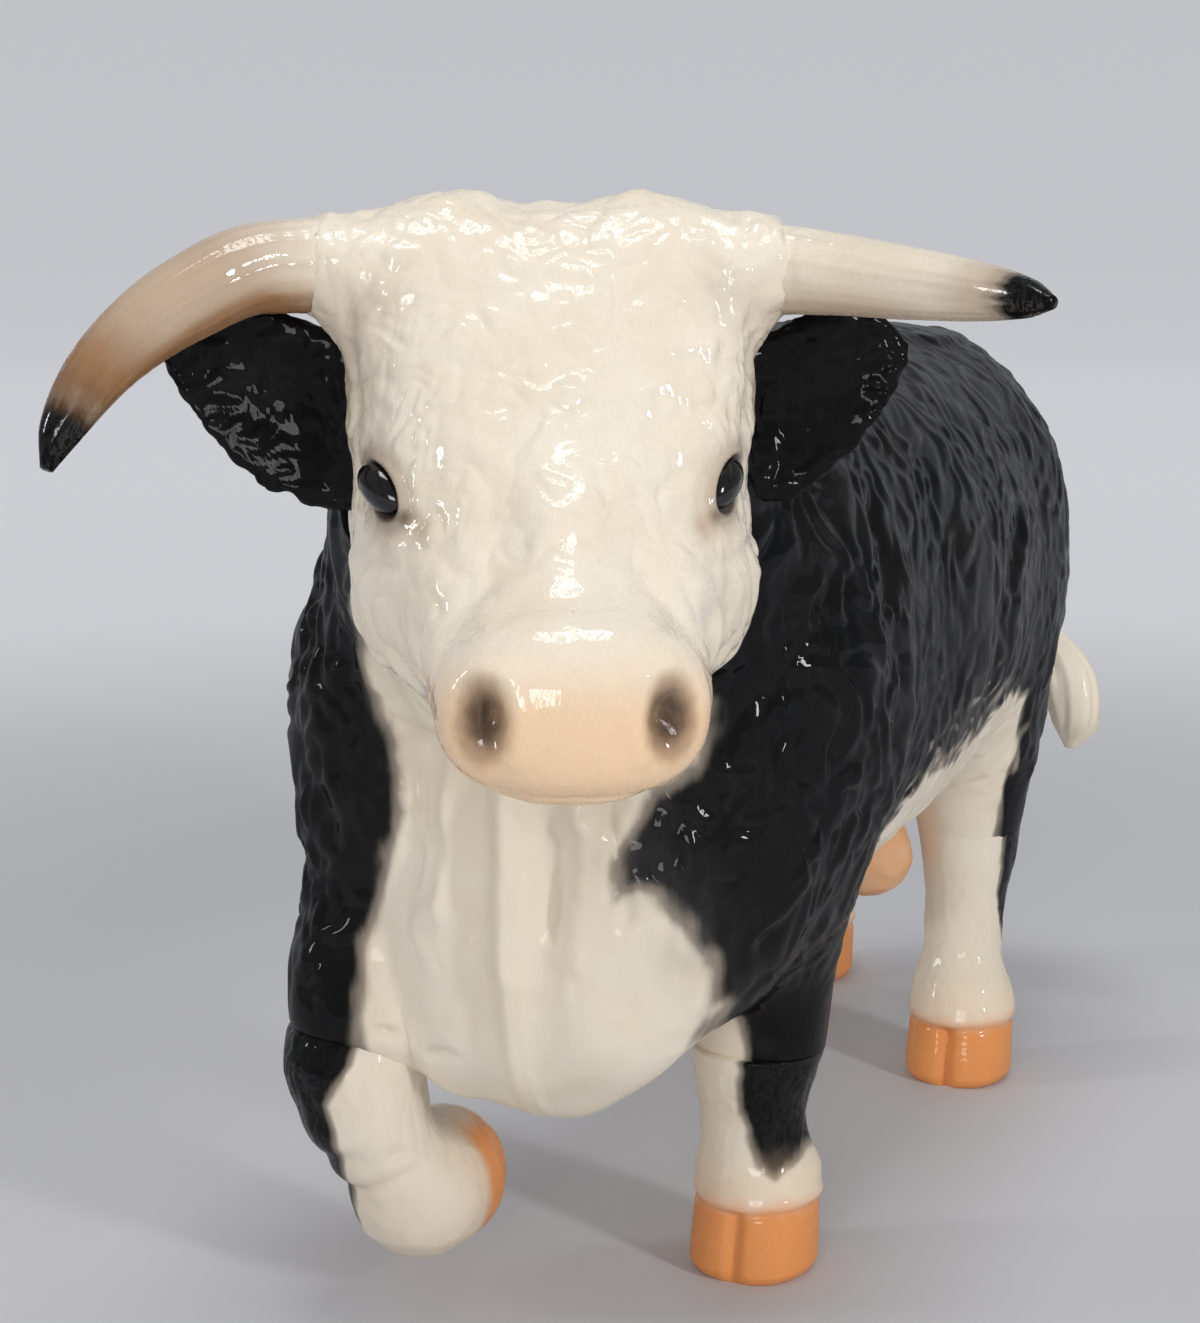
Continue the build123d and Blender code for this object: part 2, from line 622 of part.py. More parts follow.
def head_shells():
    """The two halves of the head, parted on its middle plane, with the neck's tongue and the eyes."""
    form = head_form(0)
    for side in (1, -1):
        across, forward, up = EYE_PLACE_SHARES
        form += Pos(*head_at(side * across, forward, up)) * Rot(90, 0, 0) * Sphere(eye_radius)
    hollow = head_form(head_wall)
    hollow &= Pos(0, -head_wall, 0) * before_seat()
    for side in (1, -1):
        hollow -= seat_block(side)
    for forward, z in head_pins():
        hollow -= boss_along_x(-forward, z, boss_length * 2, boss_radius)
    form -= hollow
    form &= before_seat()
    form += collar_ring(0, True)
    behind = (0, neck_seat + overrun, COLLAR_UP_SHARE * head_height)
    opening = Ellipse(collar_half_width - wall, collar_half_height - wall)
    form -= extrude(Plane(origin=behind, x_dir=(1, 0, 0), z_dir=(0, -1, 0)) * opening, wall + overrun * 2)
    sides = ((1, HORN_LEFT_SHARES, EAR_LEFT_SHARES), (-1, HORN_RIGHT_SHARES, EAR_RIGHT_SHARES))
    for side, horn_shares, ear_shares in sides:
        form -= horn_pocket(horn_shares, side)
        form -= horn_plug(side, clearance)
        form -= ear_pocket(ear_shares, side)
        form -= ear_plug(side, clearance)
    left = form & half_space(1)
    right = form & half_space(-1)
    for forward, z in head_pins():
        left += Pos(-pin_length / 2, 0, 0) * boss_along_x(-forward, z, pin_length, pin_radius)
        deep = pin_length + clearance
        right -= Pos(-deep / 2, 0, 0) * boss_along_x(-forward, z, deep, pin_radius + clearance)
    return left, right


def tail():
    """The tail from its flat seat on the rump to its switch, swung to the animal's left."""
    rings = []
    places = [Vector(*at(*row[:3])) for row in TAIL_SHARES]
    places[0] = Vector(0, tail_seat, places[0].Z)
    for number, (place, row) in enumerate(zip(places, TAIL_SHARES)):
        before = places[max(number - 1, 0)]
        after = places[min(number + 1, len(places) - 1)]
        ahead = Vector(0, 1, 0) if number == 0 else after - before
        rings.append(Plane(origin=place, x_dir=(1, 0, 0), z_dir=ahead) * Circle(row[3] * tail_radius))
    return loft(rings) + tail_plug(0)


def scrotum():
    """The scrotum hanging from its flat seat under the belly."""
    x, y, _ = at(*SCROTUM_PLACE_SHARES, 0)
    rings = []
    for down, wide in SCROTUM_SHARES:
        place = Pos(x, y, scrotum_seat - down * scrotum_height)
        rings.append(place * Circle(wide * scrotum_half_width))
    return loft(rings) + scrotum_plug(0)


def pieces():
    """Every piece of the figurine by name, in the body's frame."""
    made = {}
    made["body_shell_left"], made["body_shell_right"] = body_shells()
    head_left, head_right = head_shells()
    made["head_shell_left"] = HEAD_PLACE * head_left
    made["head_shell_right"] = HEAD_PLACE * head_right
    made["horn_left"] = HEAD_PLACE * horn(HORN_LEFT_SHARES, 1)
    made["horn_right"] = HEAD_PLACE * horn(HORN_RIGHT_SHARES, -1)
    made["ear_left"] = HEAD_PLACE * ear(EAR_LEFT_SHARES, 1)
    made["ear_right"] = HEAD_PLACE * ear(EAR_RIGHT_SHARES, -1)
    made["foreleg_left"] = lower_leg(FORE_LEFT_LOWER_SHARES, fore_left_seam)
    made["foreleg_right"] = raised_leg()
    made["hind_leg_left"] = lower_leg(HIND_LEFT_LOWER_SHARES, hind_left_seam)
    made["hind_leg_right"] = lower_leg(HIND_RIGHT_LOWER_SHARES, hind_right_seam)
    made["tail"] = tail()
    made["scrotum"] = scrotum()
    return made


def main():
    os.makedirs("parts", exist_ok=True)
    made = pieces()
    boxes = [part.bounding_box() for part in made.values()]
    low_x, high_x = min(box.min.X for box in boxes), max(box.max.X for box in boxes)
    low_y, high_y = min(box.min.Y for box in boxes), max(box.max.Y for box in boxes)
    low_z = min(box.min.Z for box in boxes)
    ground_middle = Pos(-(low_x + high_x) / 2, -(low_y + high_y) / 2, -low_z)
    for name, part in made.items():
        export_step(ground_middle * part, "parts/" + name + ".step")


main()
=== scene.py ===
import math

import bpy
import numpy as np
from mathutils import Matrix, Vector


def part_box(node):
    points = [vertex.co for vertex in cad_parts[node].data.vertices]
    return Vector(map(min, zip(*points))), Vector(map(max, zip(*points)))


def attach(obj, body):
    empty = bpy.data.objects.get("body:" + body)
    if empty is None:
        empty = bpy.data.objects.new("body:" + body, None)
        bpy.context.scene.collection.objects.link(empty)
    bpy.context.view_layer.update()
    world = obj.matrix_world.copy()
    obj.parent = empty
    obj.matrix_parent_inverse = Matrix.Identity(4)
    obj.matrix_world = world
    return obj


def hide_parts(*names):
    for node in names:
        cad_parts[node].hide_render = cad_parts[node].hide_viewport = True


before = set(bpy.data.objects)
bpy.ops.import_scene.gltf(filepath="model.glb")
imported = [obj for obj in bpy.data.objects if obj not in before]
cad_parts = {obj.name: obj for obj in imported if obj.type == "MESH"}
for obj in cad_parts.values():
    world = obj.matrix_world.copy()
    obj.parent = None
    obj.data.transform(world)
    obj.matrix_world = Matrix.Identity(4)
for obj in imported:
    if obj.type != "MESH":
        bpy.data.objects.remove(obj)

# Everything is worked out in millimetres from the place where the body seam meets the ground, as the source
# has it: the bull faces -Y, its left side is +X. SHIFT takes that place to its place in the frame. The left
# shell's pins reach past the seam by PIN_REACH, and the tail's peg starts at TAIL_PEG along Y.
MM = 0.001
PIN_REACH = 4.0
TAIL_PEG = 95.0
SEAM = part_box("body_shell_left")[0].x / MM + PIN_REACH
SHIFT = np.array([SEAM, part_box("tail")[0].y / MM - TAIL_PEG, 0.0])
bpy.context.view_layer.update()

POLL = np.array([8.0, -96.0, 165.0])
HEAD_TURN = math.radians(29)
# Directions of the head: to its left, forward and up
HEAD_AXES = np.array(
    [
        [math.cos(HEAD_TURN), math.sin(HEAD_TURN), 0.0],
        [math.sin(HEAD_TURN), -math.cos(HEAD_TURN), 0.0],
        [0.0, 0.0, 1.0],
    ]
)


def from_head(points):
    """Head places (left, forward, up from the poll) as places of the body."""
    return POLL + np.asarray(points, float) @ HEAD_AXES


# Tables and fields


def lookup(stations, values, at):
    """Smooth table: between stations a cubic whose end slopes are harmonic means of the secants.
    Beyond its ends the table is held."""
    stations, values = np.asarray(stations, float), np.asarray(values, float)
    if stations[0] > stations[-1]:
        stations, values = stations[::-1], values[::-1]
    if values.ndim == 1:
        values = values[:, None]
    span = np.diff(stations)
    secant = np.diff(values, axis=0) / span[:, None]
    before, after = secant[:-1], secant[1:]
    total = np.where(before * after > 0, before + after, 1.0)
    inner = np.where(before * after > 0, 2 * before * after / total, 0.0)
    slope = np.concatenate([secant[:1], inner, secant[-1:]])
    at = np.clip(at, stations[0], stations[-1])
    row = np.clip(np.searchsorted(stations, at, side="right") - 1, 0, len(span) - 1)
    width = span[row][..., None]
    t = (at - stations[row])[..., None] / width
    t2, t3 = t * t, t * t * t
    return (
        (2 * t3 - 3 * t2 + 1) * values[row]
        + (t3 - 2 * t2 + t) * width * slope[row]
        + (3 * t2 - 2 * t3) * values[row + 1]
        + (t3 - t2) * width * slope[row + 1]
    )


def smooth(x, low, high):
    """0 below low, 1 above high, and the curve 3t^2 - 2t^3 between."""
    t = np.clip((x - low) / (high - low), 0, 1)
    return t * t * (3 - 2 * t)


def bell(x, middle, width):
    """1 at the middle and falling off to both sides: exp(-((x - middle) / width)^2)."""
    return np.exp(-(((x - middle) / width) ** 2))


def soft_min(a, b, width):
    """The smaller of two fields, rounded off over a width where they are nearly equal."""
    t = np.clip(0.5 + 0.5 * (b - a) / width, 0, 1)
    return b * (1 - t) + a * t - width * t * (1 - t)


def soft_max(a, b, width):
    """The larger of two fields, rounded off over a width."""
    return -soft_min(-a, -b, width)


def scrambled(cell, seed):
    """Three numbers from -1 to 1 for each lattice corner, from its whole-number place by an integer hash."""
    key = (cell[..., 0] * 73856093) ^ (cell[..., 1] * 19349663) ^ (cell[..., 2] * 83492791)
    key = (key ^ (seed * 2654435761)) & 0xFFFFFFFF
    key = ((key ^ (key >> 15)) * 2246822519) & 0xFFFFFFFF
    key = ((key ^ (key >> 13)) * 3266489917) & 0xFFFFFFFF
    key = key ^ (key >> 16)
    parts = np.stack([key & 1023, (key >> 10) & 1023, (key >> 20) & 1023], -1)
    return parts / 511.5 - 1.0


def noise(points, seed=0):
    """Gradient noise of about -1 to 1: slopes at lattice corners, blended by 6t^5 - 15t^4 + 10t^3."""
    cell = np.floor(points).astype(np.int64)
    part = points - cell
    fade = part * part * part * (part * (part * 6 - 15) + 10)
    total = np.zeros(len(points))
    for corner in np.ndindex(2, 2, 2):
        offset = np.array(corner)
        slope = scrambled(cell + offset, seed)
        weight = np.prod(np.where(offset == 1, fade, 1 - fade), axis=1)
        total += weight * np.sum(slope * (part - offset), axis=1)
    return total * 1.35


def wandering(points, size, reach, seed):
    """Places pushed about by three noises of one size, so that what is laid over them meanders."""
    push = [noise(points / size, seed + n) for n in range(3)]
    return points + reach * np.stack(push, -1)


def locks(points, across, along, seed, axis=2):
    """Locks of hair: |noise| drawn out along one axis, so that its zero lines are partings between locks."""
    scale = np.full(3, 1.0 / across)
    scale[axis] = 1.0 / along
    return np.abs(noise(points * scale, seed)) ** 0.75


# Grids of points and the faces between them


def full_turn(count):
    """Evenly spread angles round a full turn, the last one short of the first."""
    return np.linspace(0, 2 * np.pi, count + 1)[:-1]


def sphere_ways(tilt, angle):
    """Unit directions by tilt from the third axis and angle round it."""
    level, along = np.sin(tilt)[:, None], np.cos(tilt)[:, None]
    return np.stack([level * np.cos(angle), level * np.sin(angle), along + 0 * angle], -1)


def grid_quads(rows, columns, closed=True):
    """Quads of a grid whose points are numbered row by row; a closed grid's last column joins its first."""
    start = np.arange(rows - 1)[:, None] * columns
    here = np.arange(columns if closed else columns - 1)
    after = (here + 1) % columns
    quads = np.stack([start + here, start + after, start + columns + after, start + columns + here], -1)
    return quads.reshape(-1, 4).tolist()


def ringed(rings):
    """A closed mesh from rings of equal count: quads between them and a many-sided face at both ends."""
    rows, columns = rings.shape[:2]
    here = np.arange(columns)
    ends = [list(here[::-1]), list((rows - 1) * columns + here)]
    return rings.reshape(-1, 3), grid_quads(rows, columns) + ends


# Forms: each is a closed seed grid and a field that is negative inside, in millimetres near its surface


def limb(rows, rounding=1.5):
    """Level ovals joined by smooth tables over z: hypot(x / half across, y / half along) is 1 on the side.
    Each row is (x, y, z, half across, half along)."""
    rows = np.array(rows, float)
    rows = rows[np.argsort(rows[:, 2])]
    low, high = rows[0, 2], rows[-1, 2]
    angle = full_turn(24)
    levels = np.linspace(low, high, 3 * len(rows))
    table = lookup(rows[:, 2], rows[:, [0, 1, 3, 4]], levels)
    x = table[:, 0, None] + table[:, 2, None] * np.cos(angle)
    y = table[:, 1, None] + table[:, 3, None] * np.sin(angle)
    rings = np.stack([x, y, np.broadcast_to(levels[:, None], x.shape)], -1)

    def field(p):
        x, y, half_x, half_y = lookup(rows[:, 2], rows[:, [0, 1, 3, 4]], p[:, 2]).T
        reach = np.hypot((p[:, 0] - x) / half_x, (p[:, 1] - y) / half_y)
        side = (reach - 1) * np.minimum(half_x, half_y)
        return soft_max(side, np.maximum(low - p[:, 2], p[:, 2] - high), rounding)

    return ringed(rings), field


def ball(centre, radii):
    """An ellipsoid: the length of (place - centre) / radii is 1 on its surface."""
    centre, radii = np.array(centre, float), np.array(radii, float)
    rings = centre + sphere_ways(np.linspace(0.12, np.pi - 0.12, 12), full_turn(24)) * radii

    def field(p):
        return (np.linalg.norm((p - centre) / radii, axis=1) - 1) * radii.min()

    return ringed(rings), field


def swept(path, radii, columns=24, tall=1.0, up=(0.0, 0.0, 1.0)):
    """Ring places round a path: at each point an oval in two directions square to the path, one of them as
    near up as can be."""
    path = np.asarray(path, float)
    ahead = np.gradient(path, axis=0)
    ahead /= np.linalg.norm(ahead, axis=1)[:, None]
    side = np.cross(ahead, np.broadcast_to(up, ahead.shape))
    side /= np.linalg.norm(side, axis=1)[:, None]
    rise = np.cross(side, ahead)
    angle = full_turn(columns)
    radii = np.asarray(radii, float)[:, None]
    across = (radii * np.cos(angle))[..., None] * side[:, None]
    upward = (tall * radii * np.sin(angle))[..., None] * rise[:, None]
    return path[:, None] + across + upward


# Over this width, in millimetres, the cones of a tube are rounded into each other
CONE_BLEND = 4.0


def tube(path, radii, tall=1.0):
    """Round cones from point to point of a path; heights are divided by tall first, so the tube is oval."""
    path, radii = np.array(path, float), np.array(radii, float)
    squeeze = np.array([1.0, 1.0, 1.0 / tall])

    def field(p):
        best = np.full(len(p), 1e9)
        for a, b, ra, rb in zip(path[:-1], path[1:], radii[:-1], radii[1:]):
            line = (b - a) * squeeze
            off = (p - a) * squeeze
            t = np.clip(off @ line / (line @ line), 0, 1)
            far = np.linalg.norm(off - t[:, None] * line, axis=1) - (ra + (rb - ra) * t)
            best = soft_min(best, far, CONE_BLEND)
        return best

    return ringed(swept(path, radii, tall=tall)), field


# Skins: seeds merged in voxels, then drawn on to the joined field


def points_and_faces(mesh):
    """The places and quads of a mesh."""
    points = np.zeros(len(mesh.vertices) * 3)
    mesh.vertices.foreach_get("co", points)
    corners = np.zeros(len(mesh.loops), int)
    mesh.loops.foreach_get("vertex_index", corners)
    return points.reshape(-1, 3), corners.reshape(-1, 4)


def merged(seeds, voxel):
    """Overlapping closed seeds as one skin of quads, by voxels that have a layer of cells astride x = 0."""
    points, faces, count = [], [], 0
    for places, polygons in seeds:
        points.append(places)
        faces += [[corner + count for corner in polygon] for polygon in polygons]
        count += len(places)
    mesh = bpy.data.meshes.new("seeds")
    stacked = np.concatenate(points) + np.array([voxel / 2, 0, 0])
    mesh.from_pydata(stacked.tolist(), [], faces)
    holder = bpy.data.objects.new("seeds", mesh)
    bpy.context.scene.collection.objects.link(holder)
    remesh = holder.modifiers.new("voxels", "REMESH")
    remesh.mode = "VOXEL"
    remesh.voxel_size = voxel
    baked = bpy.data.meshes.new_from_object(holder.evaluated_get(bpy.context.evaluated_depsgraph_get()))
    points, quads = points_and_faces(baked)
    bpy.data.objects.remove(holder)
    bpy.data.meshes.remove(mesh)
    bpy.data.meshes.remove(baked)
    points[:, 0] -= voxel / 2
    seam = np.abs(points[:, 0]) < voxel * 0.5001
    points[seam, 0] = 0
    return points, quads


def edges_of(quads):
    """Every edge once, and for each quad the numbers of its four edges."""
    pairs = np.stack([quads, np.roll(quads, -1, axis=1)], -1).reshape(-1, 2)
    pairs.sort(axis=1)
    keys = pairs[:, 0] * (quads.max() + 1) + pairs[:, 1]
    _, first, number = np.unique(keys, return_index=True, return_inverse=True)
    return pairs[first], number.reshape(-1, 4)


def in_seam(points):
    """Which points lie in the seam's plane."""
    return np.abs(points[:, 0]) < 1e-6


def neighbour_mean(values, edges):
    """For each point the mean of the values at the other ends of its edges."""
    count = np.bincount(edges.ravel(), minlength=len(values))
    columns = []
    for column in values.T:
        total = np.bincount(edges[:, 0], column[edges[:, 1]], len(values))
        total += np.bincount(edges[:, 1], column[edges[:, 0]], len(values))
        columns.append(total / np.maximum(count, 1))
    return np.stack(columns, -1)


def evened(points, edges, rounds, share=0.5):
    """Points moved towards the mean of their neighbours; seam points stay in the seam."""
    seam = in_seam(points)
    for _ in range(rounds):
        points = points + share * (neighbour_mean(points, edges) - points)
        points[seam, 0] = 0
    return points


def settled(points, field, rounds, limit=2.0):
    """Newton's steps down the field's slope to where it is zero; seam points stay in the seam."""
    seam = in_seam(points)
    step = 0.05
    for _ in range(rounds):
        value = field(points)
        slope = np.stack([(field(points + step * axis) - value) / step for axis in np.eye(3)], -1)
        slope[seam, 0] = 0
        move = -value[:, None] * slope / np.maximum(np.sum(slope * slope, axis=1), 0.05)[:, None]
        length = np.linalg.norm(move, axis=1)
        points = points + move * np.minimum(1, limit / np.maximum(length, 1e-9))[:, None]
    return points


def divided(points, quads):
    """Each quad in four, by the middles of its edges and its own middle."""
    edges, number = edges_of(quads)
    middles, centres = points[edges].mean(axis=1), points[quads].mean(axis=1)
    side = number + len(points)
    centre = len(points) + len(edges) + np.arange(len(quads))
    corners = [np.stack([quads[:, n], side[:, n], centre, side[:, n - 1]], -1) for n in range(4)]
    return np.concatenate([points, middles, centres]), np.concatenate(corners)


def normals_of(points, quads):
    """Point normals: the sum of the cross products of the diagonals of the quads round each point."""
    across = np.cross(points[quads[:, 2]] - points[quads[:, 0]], points[quads[:, 3]] - points[quads[:, 1]])
    total = np.stack(
        [np.bincount(quads.ravel(), np.repeat(column, 4), len(points)) for column in across.T], -1
    )
    return total / np.maximum(np.linalg.norm(total, axis=1), 1e-12)[:, None]


def lifted(points, quads, relief):
    """Points moved out along their normals by the relief."""
    return points + normals_of(points, quads) * relief[:, None]


def skin(forms, joined, voxel):
    """One closed skin of forms: voxels of a size, evened and drawn to the joined field twice, then divided
    in four and drawn again."""
    points, quads = merged([form[0] for form in forms], voxel)
    edges, _ = edges_of(quads)
    for rounds, steps in ((4, 4), (3, 2)):
        points = settled(evened(points, edges, rounds), joined, steps)
    points, quads = divided(points, quads)
    edges, _ = edges_of(quads)
    points = settled(evened(points, edges, 2), joined, 2)
    return points, quads


def stroke(points, path, width, height):
    """A raised or sunken stroke: height times a bell of the distance to the path."""
    path = np.atleast_2d(np.array(path, float))
    reach = 3 * width
    near = np.all((points > path.min(0) - reach) & (points < path.max(0) + reach), axis=1)
    result = np.zeros(len(points))
    if not near.any():
        return result
    p = points[near]
    far = np.linalg.norm(p - path[0], axis=1)
    for a, b in zip(path[:-1], path[1:]):
        line = b - a
        t = np.clip((p - a) @ line / (line @ line), 0, 1)
        far = np.minimum(far, np.linalg.norm(p - a - t[:, None] * line, axis=1))
    result[near] = height * bell(far, 0, width)
    return result


def lump(points, centre, radii, height):
    """A swelling or hollow: height times exp(-r^2) with r measured in the radii."""
    off = (points - np.array(centre, float)) / np.array(radii, float)
    return height * np.exp(-np.sum(off * off, axis=1))


def inside(flat, outline):
    """Distance from the outline's nearest side, above zero inside it, for places in a plane."""
    corners = np.array(outline, float)
    best = np.full(len(flat), 1e9)
    odd = np.zeros(len(flat), bool)
    for a, b in zip(corners, np.roll(corners, -1, axis=0)):
        line = b - a
        off = flat - a
        t = np.clip(off @ line / (line @ line), 0, 1)
        best = np.minimum(best, np.linalg.norm(off - t[:, None] * line, axis=1))
        astride = (a[1] > flat[:, 1]) != (b[1] > flat[:, 1])
        rise = b[1] - a[1] if b[1] != a[1] else 1e-9
        odd ^= astride & (flat[:, 0] < a[0] + (flat[:, 1] - a[1]) / rise * line[0])
    return np.where(odd, best, -best)


# Meshes


def piece(name, points, faces, node, material, paint, normals=None):
    """A finished object from millimetre places: its mesh at its place in the frame, paint as attributes,
    and smooth shading, with given normals where the mesh ends at a seam."""
    mesh = bpy.data.meshes.new(name)
    placed = (np.asarray(points) + SHIFT) * MM
    mesh.from_pydata(placed.tolist(), [], faces if isinstance(faces, list) else faces.tolist())
    mesh.polygons.foreach_set("use_smooth", np.ones(len(mesh.polygons), bool))
    for key, values in paint.items():
        attribute = mesh.attributes.new(key, "FLOAT", "POINT")
        attribute.data.foreach_set("value", np.asarray(values, np.float32))
    if normals is not None:
        mesh.normals_split_custom_set_from_vertices(normals.tolist())
    mesh.materials.append(material)
    made = bpy.data.objects.new(name, mesh)
    bpy.context.scene.collection.objects.link(made)
    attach(made, "root")
    if node:
        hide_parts(node)


def halves(points, quads, middle, normals, paint):
    """A closed skin parted where middle is zero: for either side its points, its faces with the caps that
    close it, its normals and its paint."""
    edges, number = edges_of(quads)
    side = middle[quads].mean(axis=1) > 0
    result = []
    for chosen in (side, ~side):
        kept = quads[chosen]
        used = np.unique(kept)
        new = np.full(len(points), -1)
        new[used] = np.arange(len(used))
        rim_edges = number[chosen].ravel()
        single = np.flatnonzero(np.bincount(rim_edges, minlength=len(edges)) == 1)
        follow = {}
        starts = kept.ravel()
        ends = np.roll(kept, -1, axis=1).ravel()
        on_rim = np.isin(rim_edges, single)
        for a, b in zip(starts[on_rim].tolist(), ends[on_rim].tolist()):
            follow[b] = a
        caps = []
        while follow:
            first = next(iter(follow))
            loop, here = [first], follow.pop(first)
            while here != first and here in follow:
                loop.append(here)
                here = follow.pop(here)
            caps.append([int(new[n]) for n in loop])
        values = {key: value[used] for key, value in paint.items()}
        result.append((points[used], new[kept].tolist() + caps, normals[used], values))
    return result


def halved_pieces(parts, names, material):
    """The left and the right part of a skin as finished pieces, each in place of its own shell."""
    for (points, faces, normals, paint), name in zip(parts, names):
        piece(name.replace("shell", "skin"), points, faces, name, material, paint, normals)


def closed_grid(rings):
    """A closed mesh from rings: quads between them, and at each end a fan to a point in the ring's middle."""
    rows, columns = rings.shape[:2]
    points = np.concatenate([rings.reshape(-1, 3), rings[0].mean(0)[None], rings[-1].mean(0)[None]])
    first, last, top = rows * columns, rows * columns + 1, (rows - 1) * columns
    fans = [[first, (n + 1) % columns, n] for n in range(columns)]
    fans += [[last, top + n, top + (n + 1) % columns] for n in range(columns)]
    return points, grid_quads(rows, columns) + fans


def closed_grid_values(values):
    """Values on a grid of rings, with the means of the end rings for the two points in their middles."""
    return np.concatenate([values.ravel(), [values[0].mean(), values[-1].mean()]])


def inside_out(faces):
    """The same faces turned to the other side."""
    return [face[::-1] for face in faces]


def ring_normals(rings):
    """Outward directions on a grid of rings, square to its rows and columns."""
    along = np.gradient(rings, axis=0)
    padded = np.concatenate([rings[:, -1:], rings, rings[:, :1]], axis=1)
    across = (padded[:, 2:] - padded[:, :-2]) / 2
    out = np.cross(along, across)
    out /= np.maximum(np.linalg.norm(out, axis=2), 1e-9)[..., None]
    middle = rings.mean(axis=1, keepdims=True)
    sign = np.sign(np.sum(out * (rings - middle)))
    return out * sign


def raised(rings, relief):
    """Rings whose points are moved outward by the relief."""
    return rings + ring_normals(rings) * relief[..., None]


# Materials


class Wire:
    """A shader value on which + - and * add Math nodes."""

    def __init__(self, shader, socket):
        self.shader, self.socket = shader, socket

    def sum(self, operation, first, second):
        """The result of an operation on this value and another, in the same shader."""
        return self.shader.sum(operation, first, second)

    def __add__(self, other):
        return self.sum("ADD", self, other)

    def __sub__(self, other):
        return self.sum("SUBTRACT", self, other)

    def __rsub__(self, other):
        return self.sum("SUBTRACT", other, self)

    def __mul__(self, other):
        return self.sum("MULTIPLY", self, other)

    __radd__ = __add__
    __rmul__ = __mul__


class Shader:
    """One material's node tree, with a Principled surface whose constants are set on its own sockets."""

    def __init__(self, name, **constants):
        self.material = bpy.data.materials.new(name)
        self.material.use_nodes = True
        self.tree = self.material.node_tree
        self.surface = self.tree.nodes["Principled BSDF"]
        for key, constant in constants.items():
            self.surface.inputs[key.replace("_", " ")].default_value = constant

    def node(self, kind, settings, inputs):
        """A node of a type, with its settings first and then the values or links of its sockets."""
        made = self.tree.nodes.new(kind)
        for key, setting in settings.items():
            setattr(made, key, setting)
        for key, given in inputs.items():
            socket = made.inputs[key]
            if isinstance(given, Wire):
                self.tree.links.new(given.socket, socket)
            else:
                socket.default_value = given
        return made

    def value(self, kind, settings, inputs, output=0):
        """One output of a new node."""
        return Wire(self, self.node(kind, settings, inputs).outputs[output])

    def attribute(self, name):
        """A paint attribute of the piece."""
        return self.value("ShaderNodeAttribute", {"attribute_name": name}, {}, "Fac")

    def place(self, scale=(1, 1, 1)):
        """Object coordinates in millimetres, stretched by a scale."""
        coordinates = self.value("ShaderNodeTexCoord", {}, {}, "Object")
        mapped = [part * 1000 for part in scale]
        return self.value("ShaderNodeMapping", {}, {"Vector": coordinates, "Scale": mapped})

    def speckle(self, place, size, detail=2.0, roughness=0.5, distortion=0.0):
        """Noise whose cells are as large as the size, in the millimetres of the place."""
        inputs = {"Vector": place, "Scale": 1.0 / size, "Detail": detail, "Roughness": roughness}
        inputs["Distortion"] = distortion
        return self.value("ShaderNodeTexNoise", {}, inputs, "Fac")

    def sum(self, operation, first, second):
        """The result of a Math node."""
        return self.value("ShaderNodeMath", {"operation": operation}, {0: first, 1: second})

    def clamp(self, value):
        """The value held between 0 and 1."""
        return self.value("ShaderNodeClamp", {}, {"Value": value})

    def edge(self, value, low, high):
        """0 below low and 1 above high, smooth between."""
        settings = {"interpolation_type": "SMOOTHSTEP"}
        inputs = {"Value": value, "From Min": low, "From Max": high}
        return self.value("ShaderNodeMapRange", settings, inputs)

    def blend(self, share, first, second):
        """The first colour, and by the share the second."""
        return self.value("ShaderNodeMix", {"data_type": "RGBA"}, {0: share, 6: first, 7: second}, 2)

    def bump(self, height, strength, distance, below=None):
        """A normal bent by a height over a distance in metres, on top of another bump where one is given."""
        inputs = {"Height": height, "Strength": strength, "Distance": distance}
        if below is not None:
            inputs["Normal"] = below
        return self.value("ShaderNodeBump", {}, inputs)

    def feed(self, **sockets):
        """The finished material, with these values linked to sockets of its surface."""
        for key, wire in sockets.items():
            self.tree.links.new(wire.socket, self.surface.inputs[key.replace("_", " ")])
        return self.material


# Colours of the paints, the eyes and the paper
BLACK = (0.0016, 0.0017, 0.0021, 1)
SOOT = (0.005, 0.0048, 0.005, 1)
SEPIA = (0.10, 0.062, 0.045, 1)
ASH = (0.20, 0.185, 0.18, 1)
CREAM = (0.80, 0.705, 0.565, 1)
IVORY = (0.83, 0.755, 0.64, 1)
# Tan: the colour of tan paint, and also of the painted shade in folds, under the horns and on the horns'
# undersides
TAN_AND_SHADE = (0.30, 0.16, 0.075, 1)
ROSE = (0.89, 0.63, 0.405, 1)
HOOF = (0.78, 0.27, 0.075, 1)
PALE_HOOF = (0.83, 0.36, 0.13, 1)
UMBER = (0.035, 0.018, 0.012, 1)
EYE_BLACK = (0.004, 0.004, 0.005, 1)
EYE_BROWN = (0.02, 0.014, 0.011, 1)
PAPER_NEAR = (0.60, 0.60, 0.625, 1)
PAPER_CLOUD = (0.64, 0.64, 0.665, 1)
PAPER_FAR = (0.555, 0.560, 0.590, 1)
PAPER_END = (0.525, 0.530, 0.560, 1)
NOTHING = (0.0, 0.0, 0.0, 1)

# How deep the bumps of the fine hair and of the pooled lacquer are, in metres
HAIR_DEPTH = 0.00016
POOL_DEPTH = 0.00035


